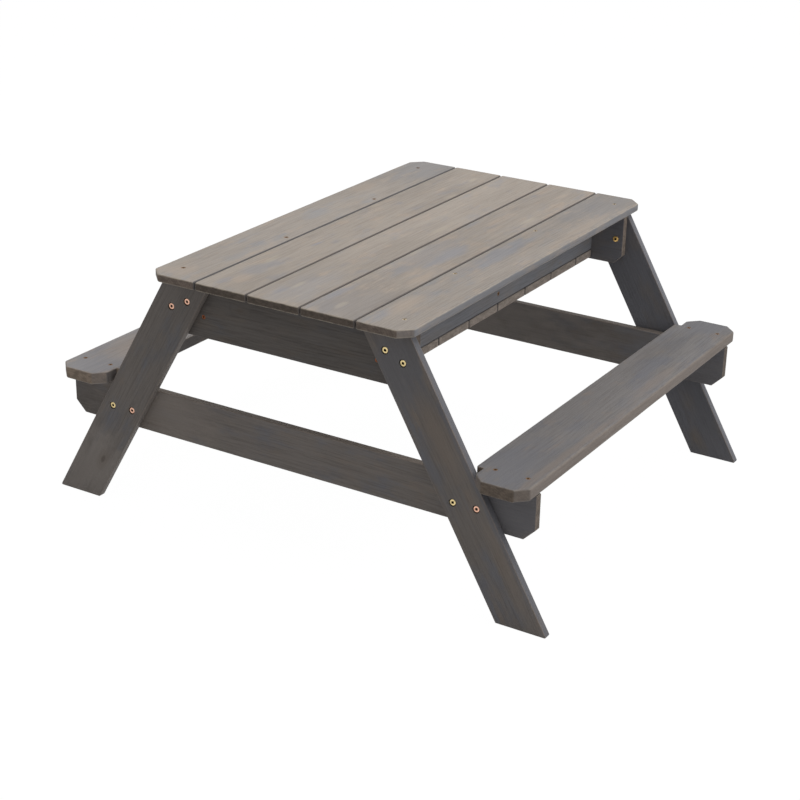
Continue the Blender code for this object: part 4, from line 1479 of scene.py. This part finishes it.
class PICNIC_OT_cross_boards(Operator):
    """The aprons under the top and the bearers under the benches"""

    bl_idname = "picnic.cross_boards"
    bl_label = "Cross Boards"

    def execute(self, context):
        sites = all_sites()
        sizes = settings().timber
        for end in ENDS:
            for name, cut in ("apron_", sizes.apron_corner), ("seat_bearer_", sizes.bearer_corner):
                outline = cross_board_outline(cut)
                fit_board(name + end, "frame_timber", CROSS_BOARD, sites, outline)
        return {"FINISHED"}


class PICNIC_OT_benches(Operator):
    """The two bench boards"""

    bl_idname = "picnic.benches"
    bl_label = "Benches"

    def execute(self, context):
        ways = {"sites": board_screw_sites(), "outline": seat_outline, "ease": "seat"}
        ways["swell"] = settings().timber.seat_swell
        for name, side in SIDES:
            fit_board("seat_" + name, "seat_timber", PLANK, side=side, **ways)
        return {"FINISHED"}


class PICNIC_OT_sandbox(Operator):
    """The sandbox: rails, divider and floor boards"""

    bl_idname = "picnic.sandbox"
    bl_label = "Sandbox"

    def execute(self, context):
        sites = all_sites()
        slot = "sandbox_timber"
        for name, _ in SIDES:
            fit_board("sandbox_rail_" + name, slot, RAIL, sites)
        fit_board("sandbox_divider", slot, CROSS_BOARD, [])
        for node in nodes_named("sandbox_floor_board_"):
            fit_board(node, slot, CROSS_PLANK, sites)
        return {"FINISHED"}


class PICNIC_OT_bolts(Operator):
    """The connector bolts and their sleeve nuts"""

    bl_idname = "picnic.bolts"
    bl_label = "Bolts and Sleeve Nuts"

    def execute(self, context):
        metal = settings().metal
        yellow = plating("yellow_plating", metal.yellow, metal.roughness)
        copper = plating("copper_plating", metal.copper, metal.roughness)
        gold = plating("gold_plating", metal.gold, metal.roughness)
        for site in bolt_sites():
            draw = np.random.default_rng(seed_of(site.name))
            own = copper if site.name in COPPER_BOLTS else yellow
            mesh = turned_mesh(site.name, site, bolt_surface, draw.uniform(0, TAU))
            add_piece("connector_" + site.name, mesh, "frame", own, site.name)
            name = site.name.replace("bolt_", "sleeve_nut_")
            mesh = turned_mesh(name, site, sleeve_surface, draw.uniform(0, TAU))
            add_piece(name, mesh, "frame", gold)
        return {"FINISHED"}


class PICNIC_OT_screws(Operator):
    """All the wood screws"""

    bl_idname = "picnic.screws"
    bl_label = "Wood Screws"

    def execute(self, context):
        metal = settings().metal
        rough = metal.roughness * SCREW_ROUGHNESS
        plain = plating("screw_plating", metal.screw, rough)
        bright = plating("bright_plating", metal.bright, rough)
        red = plating("red_plating", metal.red, rough)
        for site in board_screw_sites():
            mesh = screw_mesh(site.name, [site])
            own = bright if "top_right" in site.name else plain
            add_piece("wood_" + site.name, mesh, "frame", own, site.name)
        sites = frame_screw_sites()
        rail_ends = [site for site in sites if site.name.startswith("rail_end")]
        dividers = [site for site in sites if site.name.startswith("divider")]
        for name, group, body, own in (
            ("rail_end_screws", rail_ends, "frame", red),
            ("divider_screws", dividers, "frame", plain),
            ("floor_screws", floor_screw_sites(), "frame", plain),
            ("batten_screws", batten_screw_sites(), "lid", plain),
        ):
            add_piece(name, screw_mesh(name, group), body, own)
        return {"FINISHED"}


class PICNIC_OT_stage(Operator):
    """Pale floor, soft light and the camera"""

    bl_idname = "picnic.stage"
    bl_label = "Stage"

    def execute(self, context):
        make_floor()
        make_light()
        make_camera()
        context.scene.view_settings.view_transform = "Standard"
        return {"FINISHED"}


# Stage


def seen_directly(tree):
    """1 for rays that show the background: camera, glossy and transmission rays."""
    path = tree.add("LightPath", {}).outputs
    seen = tree.maths("MAXIMUM", path["Is Camera Ray"], path["Is Glossy Ray"])
    return tree.maths("MAXIMUM", seen, path["Is Transmission Ray"])


def floor_material(look):
    """A pale floor that shows nearly white and keeps a faint share of the object's shadow."""
    material = bpy.data.materials.new("pale_floor")
    tree = Tree(material)
    tree.give(tree.shader.inputs["Base Color"], rgba(look.floor_colour))
    tree.give(tree.shader.inputs["Roughness"], 1.0)
    plain = tree.shader.outputs[0]
    white = tree.add("Emission", {"Strength": look.white}).outputs[0]
    shown = tree.shader_mix(look.shadow, white, plain)
    chosen = tree.shader_mix(seen_directly(tree), plain, shown)
    tree.give(tree.nodes["Material Output"].inputs["Surface"], chosen)
    return material


def make_floor():
    """A wide flat floor just under the legs."""
    side = np.linspace(-FLOOR_HALF, FLOOR_HALF, 3)
    x, y = np.meshgrid(side, side, indexing="ij")
    points = np.stack([x, y, np.full_like(x, -FLOOR_DROP)], -1).reshape(-1, 3)
    mesh = bpy.data.meshes.new("floor")
    mesh.from_pydata(points.tolist(), [], grid_faces(3, 3)[:, ::-1].tolist())
    mesh.materials.append(floor_material(settings().stage))
    floor = bpy.data.objects.new("floor", mesh)
    bpy.context.scene.collection.objects.link(floor)


def area_lamp(name, place, size, power):
    """A square soft lamp that looks at the middle of the table."""
    data = bpy.data.lights.new(name, "AREA")
    data.shape = "SQUARE"
    data.size = size
    data.energy = power
    lamp = bpy.data.objects.new(name, data)
    bpy.context.scene.collection.objects.link(lamp)
    lamp.location = place
    look = Vector(LAMP_AIM) - Vector(place)
    lamp.rotation_euler = look.to_track_quat("-Z", "Y").to_euler()
    return lamp


def make_light():
    """An even white world and two large lamps, one above and one at the right bench's side."""
    look = settings().stage
    world = bpy.data.worlds.new("studio")
    bpy.context.scene.world = world
    tree = Tree(world)
    even, white = [
        tree.add("Background", {"Color": (1, 1, 1, 1), "Strength": strength}).outputs[0]
        for strength in (look.sky, 1.0)
    ]
    shown = tree.shader_mix(seen_directly(tree), even, white)
    tree.give(tree.nodes["World Output"].inputs["Surface"], shown)
    area_lamp("key", KEY_PLACE, KEY_SIZE, look.key_power)
    area_lamp("fill", FILL_PLACE, FILL_SIZE, look.fill_power)


def make_camera():
    """The photograph's camera: turned from +X, tilted down and slightly rolled."""
    data = bpy.data.cameras.new("camera")
    data.sensor_width = SENSOR_WIDTH
    data.lens = settings().stage.lens
    camera = bpy.data.objects.new("camera", data)
    bpy.context.scene.collection.objects.link(camera)
    level = Euler((math.pi / 2 + CAMERA_TILT, 0, CAMERA_TURN - math.pi / 2)).to_quaternion()
    camera.rotation_mode = "QUATERNION"
    camera.rotation_quaternion = level @ Quaternion((0, 0, 1), CAMERA_ROLL)
    camera.location = CAMERA_PLACE
    bpy.context.scene.camera = camera


class PICNIC_PT_panel(Panel):
    """Lists the steps that dress the table"""

    bl_idname = "PICNIC_PT_panel"
    bl_label = "Picnic Table"
    bl_space_type = "VIEW_3D"
    bl_region_type = "UI"
    bl_category = "Picnic Table"

    def draw(self, context):
        for operator in OPERATORS:
            self.layout.operator(operator.bl_idname)


OPERATORS = (
    PICNIC_OT_top_boards,
    PICNIC_OT_lid,
    PICNIC_OT_legs,
    PICNIC_OT_cross_boards,
    PICNIC_OT_benches,
    PICNIC_OT_sandbox,
    PICNIC_OT_bolts,
    PICNIC_OT_screws,
    PICNIC_OT_stage,
)
GROUPS = (
    TimberSizes,
    FastenerSizes,
    TopFinish,
    LidFinish,
    FrameFinish,
    SeatFinish,
    SandboxFinish,
    MetalFinish,
    StageSettings,
    PicnicTableSettings,
)


def register():
    """Add the classes and the scene's settings."""
    for cls in (*GROUPS, *OPERATORS, PICNIC_PT_panel):
        bpy.utils.register_class(cls)
    bpy.types.Scene.picnic_table = PointerProperty(type=PicnicTableSettings)


def unregister():
    """Take them away again."""
    del bpy.types.Scene.picnic_table
    for cls in reversed((*GROUPS, *OPERATORS, PICNIC_PT_panel)):
        bpy.utils.unregister_class(cls)


def main():
    """Dress the whole table."""
    register()
    bpy.ops.picnic.top_boards()
    bpy.ops.picnic.lid()
    bpy.ops.picnic.legs()
    bpy.ops.picnic.cross_boards()
    bpy.ops.picnic.benches()
    bpy.ops.picnic.sandbox()
    bpy.ops.picnic.bolts()
    bpy.ops.picnic.screws()
    bpy.ops.picnic.stage()


if __name__ == "__main__":
    main()
